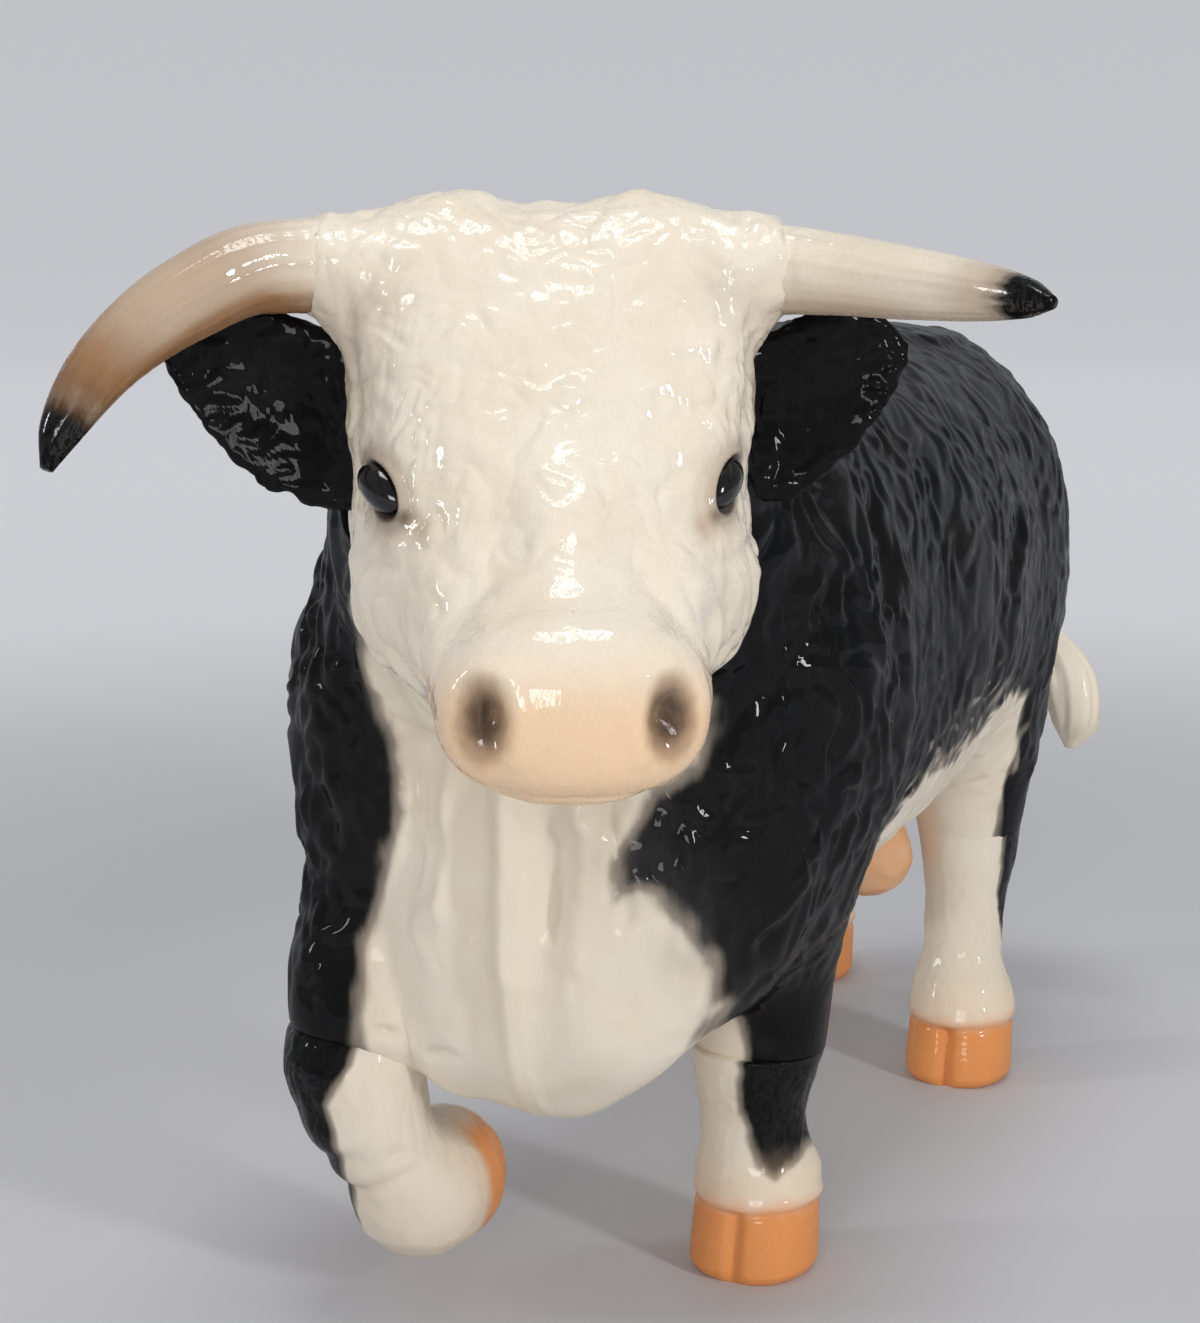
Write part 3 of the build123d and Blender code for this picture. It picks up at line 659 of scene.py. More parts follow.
def painted(name, strand=(1.1, 1.1, 0.22), hair=0.35, gloss=1.0, shine=0.05):
    """Sprayed and lacquered plastic. Six paint layers follow the attributes for white, grey, rose, ochre, tan
    and dark; the white one's edge is ragged, and thin white over black shows brown. The tan layer is tan
    paint in some places and painted shade in others. Fine hair is a bump drawn out along the strand. The
    lacquer pools a little; shine is its weight, and gloss adds to it in streaks."""
    shader = Shader(name, IOR=1.5, Coat_Roughness=0.03, Coat_IOR=1.5, Specular_IOR_Level=0.06)
    place = shader.place()
    ragged = shader.speckle(shader.place(strand), 1.0, 3.0, 0.6) - 0.5
    cloud = shader.speckle(place, 14.0, 3.0, 0.55)
    grain = shader.speckle(place, 0.5, 2.0, 0.6)
    white = shader.edge(shader.attribute("white") + ragged * 0.14, 0.08, 0.92)
    # The tan layer: tan paint, and painted shade in folds, under the horns and on the horns' undersides
    tan = shader.clamp(shader.attribute("tan") * (0.75 + cloud * 0.5))
    rose = shader.clamp(shader.attribute("rose") * (0.86 + cloud * 0.28))
    dark = shader.clamp(shader.attribute("dark") * (0.94 + ragged * 0.3))
    pale = shader.blend(shader.edge(cloud, 0.3, 0.75), CREAM, IVORY)
    black = shader.blend(shader.edge(cloud, 0.35, 0.8), BLACK, SOOT)
    thin = shader.edge(white, 0.0, 0.55) * (1 - shader.edge(white, 0.45, 1.0))
    coat = shader.blend(white, black, pale)
    coat = shader.blend(thin * 0.45, coat, SEPIA)
    coat = shader.blend(shader.attribute("grey"), coat, ASH)
    coat = shader.blend(rose, coat, ROSE)
    coat = shader.blend(shader.attribute("ochre"), coat, shader.blend(grain, HOOF, PALE_HOOF))
    coat = shader.blend(tan, coat, TAN_AND_SHADE)
    coat = shader.blend(dark, coat, UMBER)
    strands = shader.speckle(shader.place(strand), 0.42, 2.0, 0.6, 0.35)
    fine = shader.bump(strands, hair, HAIR_DEPTH)
    pooled = shader.bump(shader.speckle(place, 2.2, 2.0, 0.5), 0.25, POOL_DEPTH, fine)
    rough = 0.42 + cloud * 0.14 + grain * 0.06
    lines = shader.speckle(shader.place((0.7, 0.7, 0.35)), 1.3, 3.0, 0.62, 1.6)
    streak = shader.edge(lines, 0.40, 0.50) * (1 - shader.edge(lines, 0.50, 0.60))
    lacquer = shader.clamp(shine + streak * gloss)
    return shader.feed(Base_Color=coat, Roughness=rough, Coat_Weight=lacquer, Normal=pooled)


def wet_eye():
    """Glossy black, clouded with dark brown, under clear lacquer."""
    shader = Shader("eye_black", IOR=1.5, Coat_Weight=0.6, Coat_Roughness=0.02, Specular_IOR_Level=0.25)
    cloud = shader.speckle(shader.place(), 1.6, 3.0, 0.6)
    colour = shader.blend(shader.edge(cloud, 0.35, 0.8), EYE_BLACK, EYE_BROWN)
    return shader.feed(Base_Color=colour, Roughness=0.09 + cloud * 0.08)


COAT = painted("coat_paint", hair=0.15, gloss=0.06, shine=0.24)
FACE = painted("face_paint", strand=(1.6, 1.6, 0.6), hair=0.42)
HORN = painted("horn_paint", strand=(0.25, 0.9, 1.6), hair=0.18)
EAR = painted("ear_paint", strand=(0.3, 1.2, 1.1), hair=0.4, gloss=0.08, shine=0.14)
LEG = painted("leg_paint", strand=(1.2, 1.2, 0.25), hair=0.15, gloss=0.35, shine=0.20)
SAC = painted("bare_skin_paint", strand=(1.0, 1.0, 1.0), hair=0.2, gloss=0.3, shine=0.15)
EYE = wet_eye()


def paint_of(count, **given):
    """All six paint attributes for a count of points, those not given at zero."""
    keys = ("white", "tan", "rose", "dark", "ochre", "grey")
    return {key: np.broadcast_to(given.get(key, 0.0), (count,)) for key in keys}


# Body

# Cross outlines of the barrel: place along y, half width, top and bottom
TRUNK = np.array(
    [
        (-92, 10, 92, 55),
        (-88, 20, 104, 43),
        (-80, 31, 121.5, 36),
        (-68, 38.5, 143, 36),
        (-50, 41.5, 157, 43),
        (-25, 41.5, 156, 50),
        (5, 43, 152, 55),
        (35, 42, 152, 56),
        (62, 38, 151, 61),
        (84, 31.5, 147, 72),
        (96, 21, 140, 88),
        (101, 9, 130, 104),
    ],
    float,
)
# How far the outline reaches beside an oval, by angle from the top
TRUNK_ANGLES = np.radians([0, 23.7, 45.4, 68.4, 92.9, 117.6, 140.1, 160.3, 180])
TRUNK_REACH = np.array([1, 1.043, 1.068, 1.032, 1.001, 1.015, 1.029, 1.009, 1])


def trunk():
    """The barrel: cross outlines along y, each a reach by angle from the top, with rounded ends."""
    stations = np.linspace(TRUNK[0, 0], TRUNK[-1, 0], 34)
    angle = np.linspace(-np.pi, np.pi, 33)[:-1]
    half, top, bottom = lookup(TRUNK[:, 0], TRUNK[:, 1:], stations).T[..., None]
    reach = lookup(TRUNK_ANGLES, TRUNK_REACH, np.abs(angle))[:, 0]
    x = half * reach * np.sin(angle)
    z = (top + bottom) / 2 + (top - bottom) / 2 * reach * np.cos(angle)
    rings = np.stack([x, np.broadcast_to(stations[:, None], x.shape), z], -1)

    def field(p):
        half, top, bottom = lookup(TRUNK[:, 0], TRUNK[:, 1:], p[:, 1]).T
        tall = (top - bottom) / 2
        across, up = p[:, 0] / half, (p[:, 2] - (top + bottom) / 2) / tall
        reach = lookup(TRUNK_ANGLES, TRUNK_REACH, np.abs(np.arctan2(across, up)))[:, 0]
        side = (np.hypot(across, up) / reach - 1) * np.minimum(half, tall)
        ends = np.maximum(TRUNK[0, 0] - p[:, 1], p[:, 1] - TRUNK[-1, 0])
        return soft_max(side, ends, 3.0)

    return ringed(rings), field


# Limbs that the body's skin covers, as rows of limb; the last rows narrow inside the seam of the lower leg
FORE_LEFT = [
    (16, -42, 136, 12, 18),
    (20, -45, 118, 18, 25),
    (22, -47, 98, 20, 26),
    (21, -47, 80, 18.5, 22),
    (20.5, -45, 66, 15.5, 17),
    (20, -42.4, 52, 12.5, 13),
    (19.5, -41, 38.4, 11, 11.4),
    (19.5, -41, 37.9, 10.9, 11.3),
    (19.5, -41, 36.9, 10.2, 10.6),
    (19.5, -41, 34.5, 9, 9.4),
]
FORE_RIGHT = [
    (-21, -58, 136, 13, 18),
    (-26.5, -65, 118, 17.5, 22),
    (-28, -68, 99.2, 20.3, 23.6),
    (-28, -70, 81.6, 18, 19.6),
    (-30, -73, 68.8, 15, 15),
    (-32.5, -78.8, 55.2, 12.5, 12.6),
    (-33, -80, 48, 11.5, 12.2),
    (-33, -80, 47.5, 11.4, 12.1),
    (-33, -80, 46.5, 10.7, 11.4),
    (-33, -80, 44, 9.5, 10.2),
]
HIND_LEFT = [
    (11, 62, 148, 8, 16),
    (14, 64, 140, 15, 24),
    (17, 66, 128, 20, 28),
    (18.5, 68, 104, 21.5, 30),
    (19, 68, 85, 20, 26),
    (20.5, 69, 70, 16.5, 19.6),
    (22, 70.4, 60, 13, 14),
    (22.5, 71, 50, 10.3, 11.4),
    (22.5, 71, 49.5, 10.2, 11.3),
    (22.5, 71, 48.5, 9.5, 10.6),
    (22.5, 71, 46, 8.3, 9.4),
]
HIND_RIGHT = [
    (-11, 62, 148, 8, 16),
    (-14, 64, 140, 15, 24),
    (-16.5, 66, 128, 18.5, 28),
    (-18, 69, 100, 20.5, 30),
    (-19, 73, 85, 19, 26),
    (-21.5, 82, 70, 15.5, 19),
    (-23.5, 89.6, 60.8, 12.5, 14),
    (-24.5, 94.6, 53, 10.3, 11.4),
    (-24.5, 94.6, 52.5, 10.2, 11.3),
    (-24.5, 94.6, 51.5, 9.5, 10.6),
    (-24.5, 94.6, 49, 8.3, 9.4),
]
NECK_PATH = [(0, -38, 112), (-0.5, -58, 121), (-0.5, -73, 129), (1.5, -84, 137)]
NECK_RADII = [36, 37.5, 35.5, 29.5]


def body_forms():
    """Trunk, neck, four upper limbs and the tail's root, with the field that joins them."""
    barrel = trunk()
    neck = tube(NECK_PATH, NECK_RADII, tall=1.08)
    limbs = [limb(rows) for rows in (FORE_LEFT, FORE_RIGHT, HIND_LEFT, HIND_RIGHT)]
    root = tube([(0, 92, 140), (0, 100, 139.5)], [6, 4.8])

    def joined(p):
        best = soft_min(barrel[1](p), neck[1](p), 5.0)
        for part in limbs:
            best = soft_min(best, part[1](p), 7.0)
        return soft_min(best, root[1](p), 4.0)

    return [barrel, neck, *limbs, root], joined


# Folds and muscle edges of the body: path, width and height of each stroke
BODY_STROKES = [
    ([(40, -44, 128), (41, -47, 112), (41, -45, 96), (39, -50, 84), (36, -60, 73), (32, -72, 66)], 2.6, -1.3),
    ([(43, -38, 122), (44, -40, 108), (43, -39, 95), (41, -44, 84)], 5.0, 1.1),
    ([(41, 36, 118), (43, 24, 103), (41, 24, 90), (38, 30, 80)], 3.0, 1.0),
    ([(41, 28, 116), (42, 16, 103), (40, 14, 88)], 4.0, -0.9),
    ([(29, -62, 60), (27, -58, 50), (26, -52, 43)], 2.5, -0.8),
    ([(-40, -56, 126), (-46, -62, 112), (-47, -66, 98), (-44, -70, 84)], 3.0, 1.4),
    ([(-34, -84, 118), (-40, -84, 104), (-38, -86, 90), (-34, -88, 78)], 2.6, -1.2),
    ([(-46, -72, 108), (-47, -76, 98), (-44, -80, 88)], 2.6, -1.0),
    ([(-41, 36, 118), (-43, 24, 103), (-41, 24, 90), (-38, 30, 80)], 3.0, 1.0),
    ([(0, -93, 100), (0, -93, 84), (0, -92, 66), (0, -88, 48), (0, -80, 38)], 1.6, 0.9),
    ([(5, -92, 98), (6, -92, 84), (5, -92, 70)], 1.8, -1.0),
    ([(-6, -92, 98), (-5, -92, 82), (-7, -91, 66)], 1.8, -0.8),
    ([(11, -91, 98), (10, -91, 86), (11, -90, 74), (9, -90, 64)], 1.8, 1.3),
    ([(16, -89, 96), (14, -90, 84), (17, -89, 72)], 1.6, -1.2),
    ([(-12, -91, 98), (-12, -91, 84), (-14, -90, 70)], 2.0, 1.4),
    ([(-18, -90, 96), (-18, -90, 82), (-21, -89, 68)], 1.8, -1.3),
    ([(22, -87, 72), (24, -85, 62), (21, -83, 52)], 2.0, -0.7),
    ([(-3, -84, 45), (-9, -86, 46.5), (-18, -87, 48), (-27, -88, 50)], 0.8, -1.4),
    ([(-3.5, -87, 50), (-3, -84, 45), (-3, -79, 40)], 0.8, -1.2),
    ([(-12, -84, 42), (-20, -87, 44)], 2.4, 0.9),
    ([(0, 20, 152), (0, 50, 152), (0, 80, 149)], 3.0, -0.5),
    ([(0, -62, 160), (0, -45, 158), (0, -25, 157)], 4.0, 1.2),
    ([(34, 84, 108), (36, 88, 92), (30, 90, 78)], 4.0, 0.9),
    ([(26, 88, 120), (31, 92, 100)], 3.0, -0.8),
    ([(-34, 84, 108), (-36, 88, 92), (-30, 92, 78)], 4.0, 0.9),
]


# Swellings and hollows of the chest, the brisket and the quarters: place, radii and height of each
BODY_LUMPS = [
    ((-11, -92, 80), (5, 9, 10), -1.5),
    ((7, -92, 80), (4.5, 9, 10), -1.3),
    ((-1.5, -93, 74), (2.4, 9, 20), 2.4),
    ((-1, -86, 48), (2.4, 9, 10), 1.8),
    ((-7, -90, 68), (3.4, 9, 16), -1.3),
    ((5, -90, 68), (3.4, 9, 16), -1.3),
    ((-17, -88, 60), (8, 12, 12), 1.6),
    ((13, -86, 52), (9, 12, 10), 1.8),
    ((-3, -88, 50), (4, 10, 10), -0.8),
    ((7, -78, 37), (8, 12, 6), 1.6),
    ((-19, -83, 43), (9, 11, 8), 3.4),
    ((13, -68, 37), (13, 16, 9), -4.6),
    ((23, -68, 45), (9, 12, 9), -4.2),
    ((-22, -84, 50), (7, 10, 8), 1.4),
    ((24, -84, 70), (5, 9, 7), 1.0),
    ((-44, -66, 104), (10, 12, 12), 1.2),
    ((-40, -80, 84), (8, 9, 9), 1.0),
    ((42, -58, 108), (8, 12, 14), 1.0),
    ((38, 72, 112), (10, 16, 20), 1.0),
    ((43, 6, 100), (8, 22, 22), 0.9),
]


# The white of the chest seen from the front: across and up
CHEST_WHITE = [
    (-23, 118),
    (-23.7, 104),
    (-20.9, 95.4),
    (-20.7, 84.3),
    (-25.4, 72.5),
    (-26.9, 63),
    (-27, 53.8),
    (-27.4, 46),
    (-28, 36),
    (-28, 20),
    (20.3, 20),
    (20.3, 32),
    (21, 40),
    (24, 48),
    (27.5, 57),
    (27.5, 66),
    (25, 71),
    (21.5, 75.5),
    (18.5, 76.6),
    (15.3, 74.6),
    (16, 82.3),
    (17.1, 85.2),
    (19, 89),
    (25.5, 95),
    (27, 104),
    (22, 118),
]
# How far back the right hind leg's white lies from the left one's
HIND_STRIDE = 18.0
# The white of the belly and the thigh seen from the left: along and up
FLANK_WHITE = [
    (-20, 40),
    (-21, 58),
    (-19, 70),
    (-13, 78.5),
    (-10, 79),
    (2.5, 77),
    (13.5, 78.5),
    (22, 80),
    (30, 84),
    (44, 83.5),
    (57, 80),
    (60, 72),
    (61, 66),
    (63.5, 54),
    (65, 38),
    (60, 20),
    (-30, 20),
]


def body_relief(p):
    """How far the hair and the folds stand out: strokes and lumps, then locks, fine waves and round tufts,
    which hang on the sides, lie along the back and are fainter on the white of the chest."""
    folded = wandering(p, 11.0, 2.4, 36)
    relief = sum(stroke(folded, *row) for row in BODY_STROKES)
    relief += sum(lump(p, *row) for row in BODY_LUMPS)
    bent = wandering(p, 16.0, 6.5, 11)
    curly = wandering(bent, 5.5, 2.2, 21)
    front = smooth(-p[:, 1], 10, 70)
    low = smooth(p[:, 2], 44, 66)
    back = smooth(p[:, 2], 136, 152)
    hanging = locks(curly, 5.0, 11.0, 31)
    lying = locks(curly, 5.0, 10.0, 32, axis=1)
    small = 0.5 + 0.5 * noise(curly / np.array([2.2, 2.2, 5.0]), 33)
    patchy = smooth(noise(p / 11.0, 42), -0.4, 0.3)
    coarse = hanging * (1 - back) + lying * back
    swell = noise(p / 20.0, 41)
    round_tufts = np.abs(noise(curly / np.array([5.0, 5.0, 7.5]), 34)) - 0.25
    tufts = (0.25 + 0.55 * front) * (coarse - 0.42) * (0.45 + 0.55 * patchy)
    tufts += (0.22 + 0.15 * front) * (small - 0.5) + (0.9 + 0.7 * front) * round_tufts + 0.55 * swell
    chest = smooth(inside(p[:, [0, 2]], CHEST_WHITE), -2, 4) * smooth(-p[:, 1], 34, 50)
    return relief + low * (1 - 0.65 * chest) * tufts


def body_paint(p, normals):
    """White where any of five fields is above zero: chest, flank, under the belly, and the inner sides of the
    fore and hind legs; black elsewhere. Borders are sprayed soft, a thin overspray greys the white beside the
    chest's black jut, and painted shade in tan darkens the folds."""
    wobble = 1.3 * noise(p / 6.0, 51) + 0.5 * noise(p / np.array([1.8, 1.8, 6.0]), 52)
    hanging = 2.2 * noise(p / np.array([2.6, 2.6, 9.0]), 53)
    # The chest's white ends behind the shoulder, and on the left at an edge that lies farther out with height
    chest = inside(p[:, [0, 2]], CHEST_WHITE) + wobble
    chest = np.minimum(chest, (-34 - p[:, 1]) * 0.8)
    leg_edge = 21.0 + 9.0 * smooth(-p[:, 1], 67, 77) + 14.0 * smooth(p[:, 2], 58, 70)
    chest = np.minimum(chest, leg_edge - p[:, 0] + 0.6 * wobble)
    # The flank's white ends in hanging strands, and on the right it follows the leg that is farther back
    right = p[:, 0] < 0
    stride = np.where(right, HIND_STRIDE * smooth(92 - p[:, 2], 0, 36), 0.0)
    flank = inside(np.stack([p[:, 1] - stride, p[:, 2]], -1), FLANK_WHITE) + 0.6 * wobble + hanging
    # Under the belly the skin faces down, between the sides of the legs
    under = 9 * (-normals[:, 2] - 0.45)
    between = (22 - np.abs(p[:, 0])) + 60 * smooth(p[:, 1], -24, -8) * smooth(-p[:, 1], -50, -34)
    under = np.minimum.reduce([under, 66 - p[:, 1], p[:, 1] + 70, p[:, 2] - 52, between]) + wobble
    # The limbs are white on their inner sides
    inner_fore = np.minimum(20.0 - np.abs(p[:, 0]), 64 - p[:, 2]) + wobble
    inner_fore = np.minimum(inner_fore, -20 - p[:, 1])
    outer = 19.5 + np.where(right, 5.5, 2.2) * (1 - smooth(p[:, 2], 50, 64))
    inner_hind = np.minimum(outer - np.abs(p[:, 0]), 66 - p[:, 2]) + wobble
    inner_hind = np.minimum(inner_hind, p[:, 1] - 40)
    # The border is softer on the chest
    soft = 2.1 + 1.0 * smooth(-p[:, 1], 40, 80)
    white = smooth(np.maximum.reduce([chest, flank, under, inner_fore, inner_hind]) / soft, -1.0, 1.0)
    # The overspray beside the black jut, and painted shade in tan in the folds at the elbow, the neck and the
    # right shoulder
    spray = lump(p, (13, -90, 82), (8, 20, 11), 0.30) + lump(p, (24, -84, 66), (5, 16, 9), 0.30)
    spray *= 0.6 + 0.6 * noise(p / np.array([2.2, 2.2, 7.0]), 54)
    fold_shade = lump(p, (22, -64, 52), (7, 12, 12), 0.35) + lump(p, (2, -86, 90), (26, 14, 9), 0.16)
    fold_shade += lump(p, (-26, -84, 60), (4, 14, 22), 0.18)
    return {"white": white, "grey": np.clip(spray, 0, 1), "tan": np.clip(fold_shade, 0, 1) * white}


# Depth and width of the groove along the body's seam
SEAM_DEPTH, SEAM_WIDTH = 0.28, 0.45
BODY_VOXEL = 1.5


def build_body():
    """The two body shells, parted at the seam, with a fine groove along it, a bell across."""
    forms, joined = body_forms()
    points, quads = skin(forms, joined, BODY_VOXEL)
    points = lifted(points, quads, body_relief(points))
    points[in_seam(points), 0] = 0
    normals = normals_of(points, quads)
    groove = SEAM_DEPTH * bell(points[:, 0], 0, SEAM_WIDTH)
    paint = paint_of(len(points), **body_paint(points, normals))
    points = points - normals * groove[:, None]
    normals = normals_of(points, quads)
    parts = halves(points, quads, points[:, 0], normals, paint)
    halved_pieces(parts, ("body_shell_left", "body_shell_right"), COAT)


# Head, in its own directions: left, forward, up

# Level outlines: up, front, half width, how far the outline is the jaw's, back
HEAD_LEVELS = np.array(
    [
        (10.2, -1.1, 14.0, 0, -10),
        (7.8, 4.3, 19.0, 0, -13),
        (3.0, 9.2, 25.8, 0, -19),
        (-7.5, 15.7, 28.9, 0, -26),
        (-19.5, 22.7, 29.0, 0.1, -30),
        (-28.0, 29.2, 28.2, 0.35, -30),
        (-34.3, 34.0, 28.2, 0.55, -30),
        (-44.3, 43.0, 26.6, 1, -26),
        (-53.3, 47.0, 21.5, 1, -15),
        (-59.3, 45.5, 15.0, 1, 1),
        (-62.6, 41.0, 8.6, 1, 14),
    ],
    float,
)
# How far the brow's and the jaw's outlines reach beside an oval, by angle from the front
BROW_ANGLES = np.radians([0, 22.4, 42.8, 62.7, 87.1, 112.2, 135, 157.6, 180])
BROW_REACH = np.array([1, 1.049, 1.09, 1.047, 1.001, 1.058, 1.131, 1.049, 1])
JAW_ANGLES = np.radians([0, 19.3, 37.9, 61.1, 88.8, 111.8, 134.3, 157.6, 180])
JAW_REACH = np.array([1, 0.996, 0.912, 0.868, 0.95, 1.077, 1.146, 1.049, 1])


def outline_reach(angle, jaw):
    """Reach of a level outline by angle from the front, part way from brow to jaw."""
    brow = lookup(BROW_ANGLES, BROW_REACH, angle)[..., 0]
    return brow + jaw * (lookup(JAW_ANGLES, JAW_REACH, angle)[..., 0] - brow)


def skull():
    """Level outlines from poll to chin: ovals of a half width, a front and a back, each times its reach."""
    levels = np.linspace(HEAD_LEVELS[-1, 0], HEAD_LEVELS[0, 0], 30)
    angle = np.linspace(-np.pi, np.pi, 33)[:-1]
    table = lookup(HEAD_LEVELS[:, 0], HEAD_LEVELS[:, 1:], levels)
    front, half, jaw, back = table.T[..., None]
    reach = outline_reach(np.broadcast_to(np.abs(angle), (len(levels), len(angle))), jaw)
    x = half * reach * np.sin(angle)
    y = (front + back) / 2 + (front - back) / 2 * reach * np.cos(angle)
    rings = np.stack([x, y, np.broadcast_to(levels[:, None], x.shape)], -1)

    def field(p):
        front, half, jaw, back = lookup(HEAD_LEVELS[:, 0], HEAD_LEVELS[:, 1:], p[:, 2]).T
        deep = (front - back) / 2
        across, ahead = p[:, 0] / half, (p[:, 1] - (front + back) / 2) / deep
        reach = outline_reach(np.abs(np.arctan2(across, ahead)), jaw)
        side = (np.hypot(across, ahead) / reach - 1) * np.minimum(half, deep)
        ends = np.maximum(HEAD_LEVELS[-1, 0] - p[:, 2], p[:, 2] - HEAD_LEVELS[0, 0])
        return soft_max(side, ends, 6.0)

    return ringed(rings), field


MUZZLE_CENTRE = np.array([0.2, 41.3, -52.2])
MUZZLE_HALF = np.array([17.3, 13.2, 11.8])
MUZZLE_POWER = 2.5


def muzzle():
    """A blunt oval: the sum of |place / half size| to a power, rooted, is 1 on its surface."""
    way = sphere_ways(np.linspace(0.2, np.pi - 0.2, 12), full_turn(24))[..., [0, 2, 1]]
    length = np.sum(np.abs(way) ** MUZZLE_POWER, axis=-1) ** (1 / MUZZLE_POWER)
    rings = MUZZLE_CENTRE + way / length[..., None] * MUZZLE_HALF

    def field(p):
        off = np.abs((p - MUZZLE_CENTRE) / MUZZLE_HALF)
        return (np.sum(off**MUZZLE_POWER, axis=1) ** (1 / MUZZLE_POWER) - 1) * 12.0

    return ringed(rings), field


# The left flare that runs out into the horn, the nose's ridge, and their radii
FLARE_PATH = np.array([(14, -1, -0.5), (24, -0.3, -0.3), (31, 0, 1.2)])
FLARE_RADII = [9.4, 7.6, 6.7]
RIDGE_PATH = [(0, 15.5, -20), (0, 25.3, -32.5), (0, 34.5, -43)]
RIDGE_RADII = [8, 8.2, 9]


def head_forms():
    """Skull, muzzle, flares, the poll's two swellings, cheeks and the nose's ridge, with the field that
    joins them."""
    base = skull()
    nose = muzzle()
    flares = [tube(FLARE_PATH * [side, 1, 1], FLARE_RADII) for side in (1, -1)]
    poll = [ball((place, -2.5, 1.7), (11, 8.5, 9.0)) for place in (-14.0, 13.5)]
    cheeks = [ball((side * 19.5, 9, -42), (8.5, 14, 11)) for side in (1, -1)]
    ridge = tube(RIDGE_PATH, RIDGE_RADII)

    def joined(p):
        best = soft_min(base[1](p), nose[1](p), 8.0)
        for part in flares:
            best = soft_min(best, part[1](p), 5.0)
        for part in poll + cheeks:
            best = soft_min(best, part[1](p), 4.0)
        return soft_min(best, ridge[1](p), 2.5)

    return [base, nose, *flares, *poll, *cheeks, ridge], joined


# Middles of the eyeballs, left and right, and their half sizes: along the slit, outward and across the slit
EYE_CENTRES = {1: np.array([21.9, 16.3, -27.4]), -1: np.array([-23.1, 15.6, -27.9])}
EYE_HALF = np.array([4.8, 2.8, 2.75])
# How far each eye is turned to the front, and how far its slit slopes down to the nose
EYE_TURNS = {1: math.radians(34), -1: math.radians(46)}
EYE_SLOPE = math.radians(33)


def eye_frame(side):
    """Directions of an eye: along its slit, which runs down to the nose, outward, and across the slit."""
    turn, level = EYE_TURNS[side], math.cos(EYE_SLOPE)
    out = np.array([side * math.cos(turn), math.sin(turn), 0.0])
    long = np.array([-side * math.sin(turn) * level, math.cos(turn) * level, -math.sin(EYE_SLOPE)])
    return np.stack([long, out, np.cross(long, out)])


def eye_reach(p, side):
    """Distance from an eye's middle seen square on, 1 at the ball's outline, and how far out a place lies."""
    local = (p - EYE_CENTRES[side]) @ eye_frame(side).T
    return np.hypot(local[:, 0] / EYE_HALF[0], local[:, 2] / EYE_HALF[2]), local


# One side's strokes on the head: path, width and height; the other side's are their mirror image
FACE_STROKES = [
    ([(16.5, 30.5, -33), (18.5, 27.5, -32.2), (20.3, 24.6, -31)], 1.1, -0.6),
    ([(21.0, 24.5, -21.5), (24.5, 19, -19.6), (27.5, 12, -19.6), (28.4, 7, -22)], 2.2, 0.7),
    ([(22.5, 22.5, -37.0), (25.6, 16, -37), (27.6, 9, -34)], 1.4, -0.5),
    ([(24.5, 17.5, -41), (27, 12, -40), (28, 6, -37)], 1.2, 0.5),
    ([(11, 37, -37), (13.5, 37, -41), (14.5, 38.5, -45), (14.5, 41, -47.5)], 1.8, -1.1),
    ([(17.5, 31, -37), (19, 27, -43), (19.5, 27, -49)], 3.4, 0.9),
    ([(22.5, 18, -46), (22.5, 20, -51), (20, 25, -55)], 1.4, -0.7),
    ([(24.5, 12, -48), (24, 15, -53), (21, 20, -58)], 1.3, 0.6),
    ([(18.8, 29, -52), (18.3, 31, -55.5), (16.5, 35, -59)], 1.1, -1.5),
    ([(17.0, 30.5, -46), (18.8, 30.5, -50), (18.8, 30.5, -54)], 1.2, -1.0),
    ([(16.5, 34, -60.2), (13, 42, -62.6), (8, 48, -63.2), (0, 50.5, -63.3)], 0.8, -0.8),
    ([(8.0, 52.5, -47.0), (6.8, 54.2, -52), (8.0, 53.8, -57)], 1.5, 0.4),
    ([(24.8, 1, 9.5), (26.5, 4, 5), (27, 6.5, -1), (27.3, 7, -6)], 1.3, -0.8),
    ([(27.5, 5, -9), (28, 7, -14), (28, 9, -19)], 1.4, -0.7),
    ([(25.5, 10, -6), (26.5, 12, -12), (27, 14, -18)], 1.6, 0.6),
]
# One side's swellings and hollows: place, radii and height; the other side's are their mirror image
FACE_PAIRS = [
    ((9, 22, -19), (7, 8, 8), 0.7),
    ((11.5, 53.5, -52.2), (2.3, 4, 4.0), -3.4),
    ((16.0, 50.5, -51), (2.4, 4, 5.0), 0.9),
    ((11.5, 52, -46.3), (4.0, 4, 1.8), 0.7),
    ((17.5, 32, -42), (5, 8, 8), 1.3),
    ((15.5, 40, -42.5), (4, 6, 4), -0.7),
]
# Swellings and hollows in the middle, and those that differ from side to side
FACE_SINGLES = [
    ((-2.5, 3, 10.6), (5.0, 9, 5), -0.45),
    ((0, 24, -23), (5, 8, 6), -0.8),
    ((0, 16, -8), (7, 8, 7), 0.7),
    ((17.5, 28, -29.5), (5, 5, 6), -0.9),
    ((-18.5, 28, -29.5), (5, 5, 6), -0.9),
    ((29, 6, 0), (5, 8, 9), 0.8),
    ((-29, 6, 0), (5, 8, 9), 0.9),
    ((0, 46, -41), (9, 5, 5), 0.7),
]


def socket(p, side):
    """The eye's socket, sunk inside the ball's outline, and the lids, a raised band round it, which is a bell
    of the reach and higher on the brow."""
    reach, local = eye_reach(p, side)
    near = smooth(local[:, 1], -5, -1.5)
    brow = smooth(local[:, 2] * np.sign(eye_frame(side)[2, 2]), -1.5, 2.5)
    band = bell(reach, 1.22, 0.17) * (0.22 + 0.45 * brow)
    return near * (band - 1.1 * (1 - smooth(reach, 0.70, 1.08)))


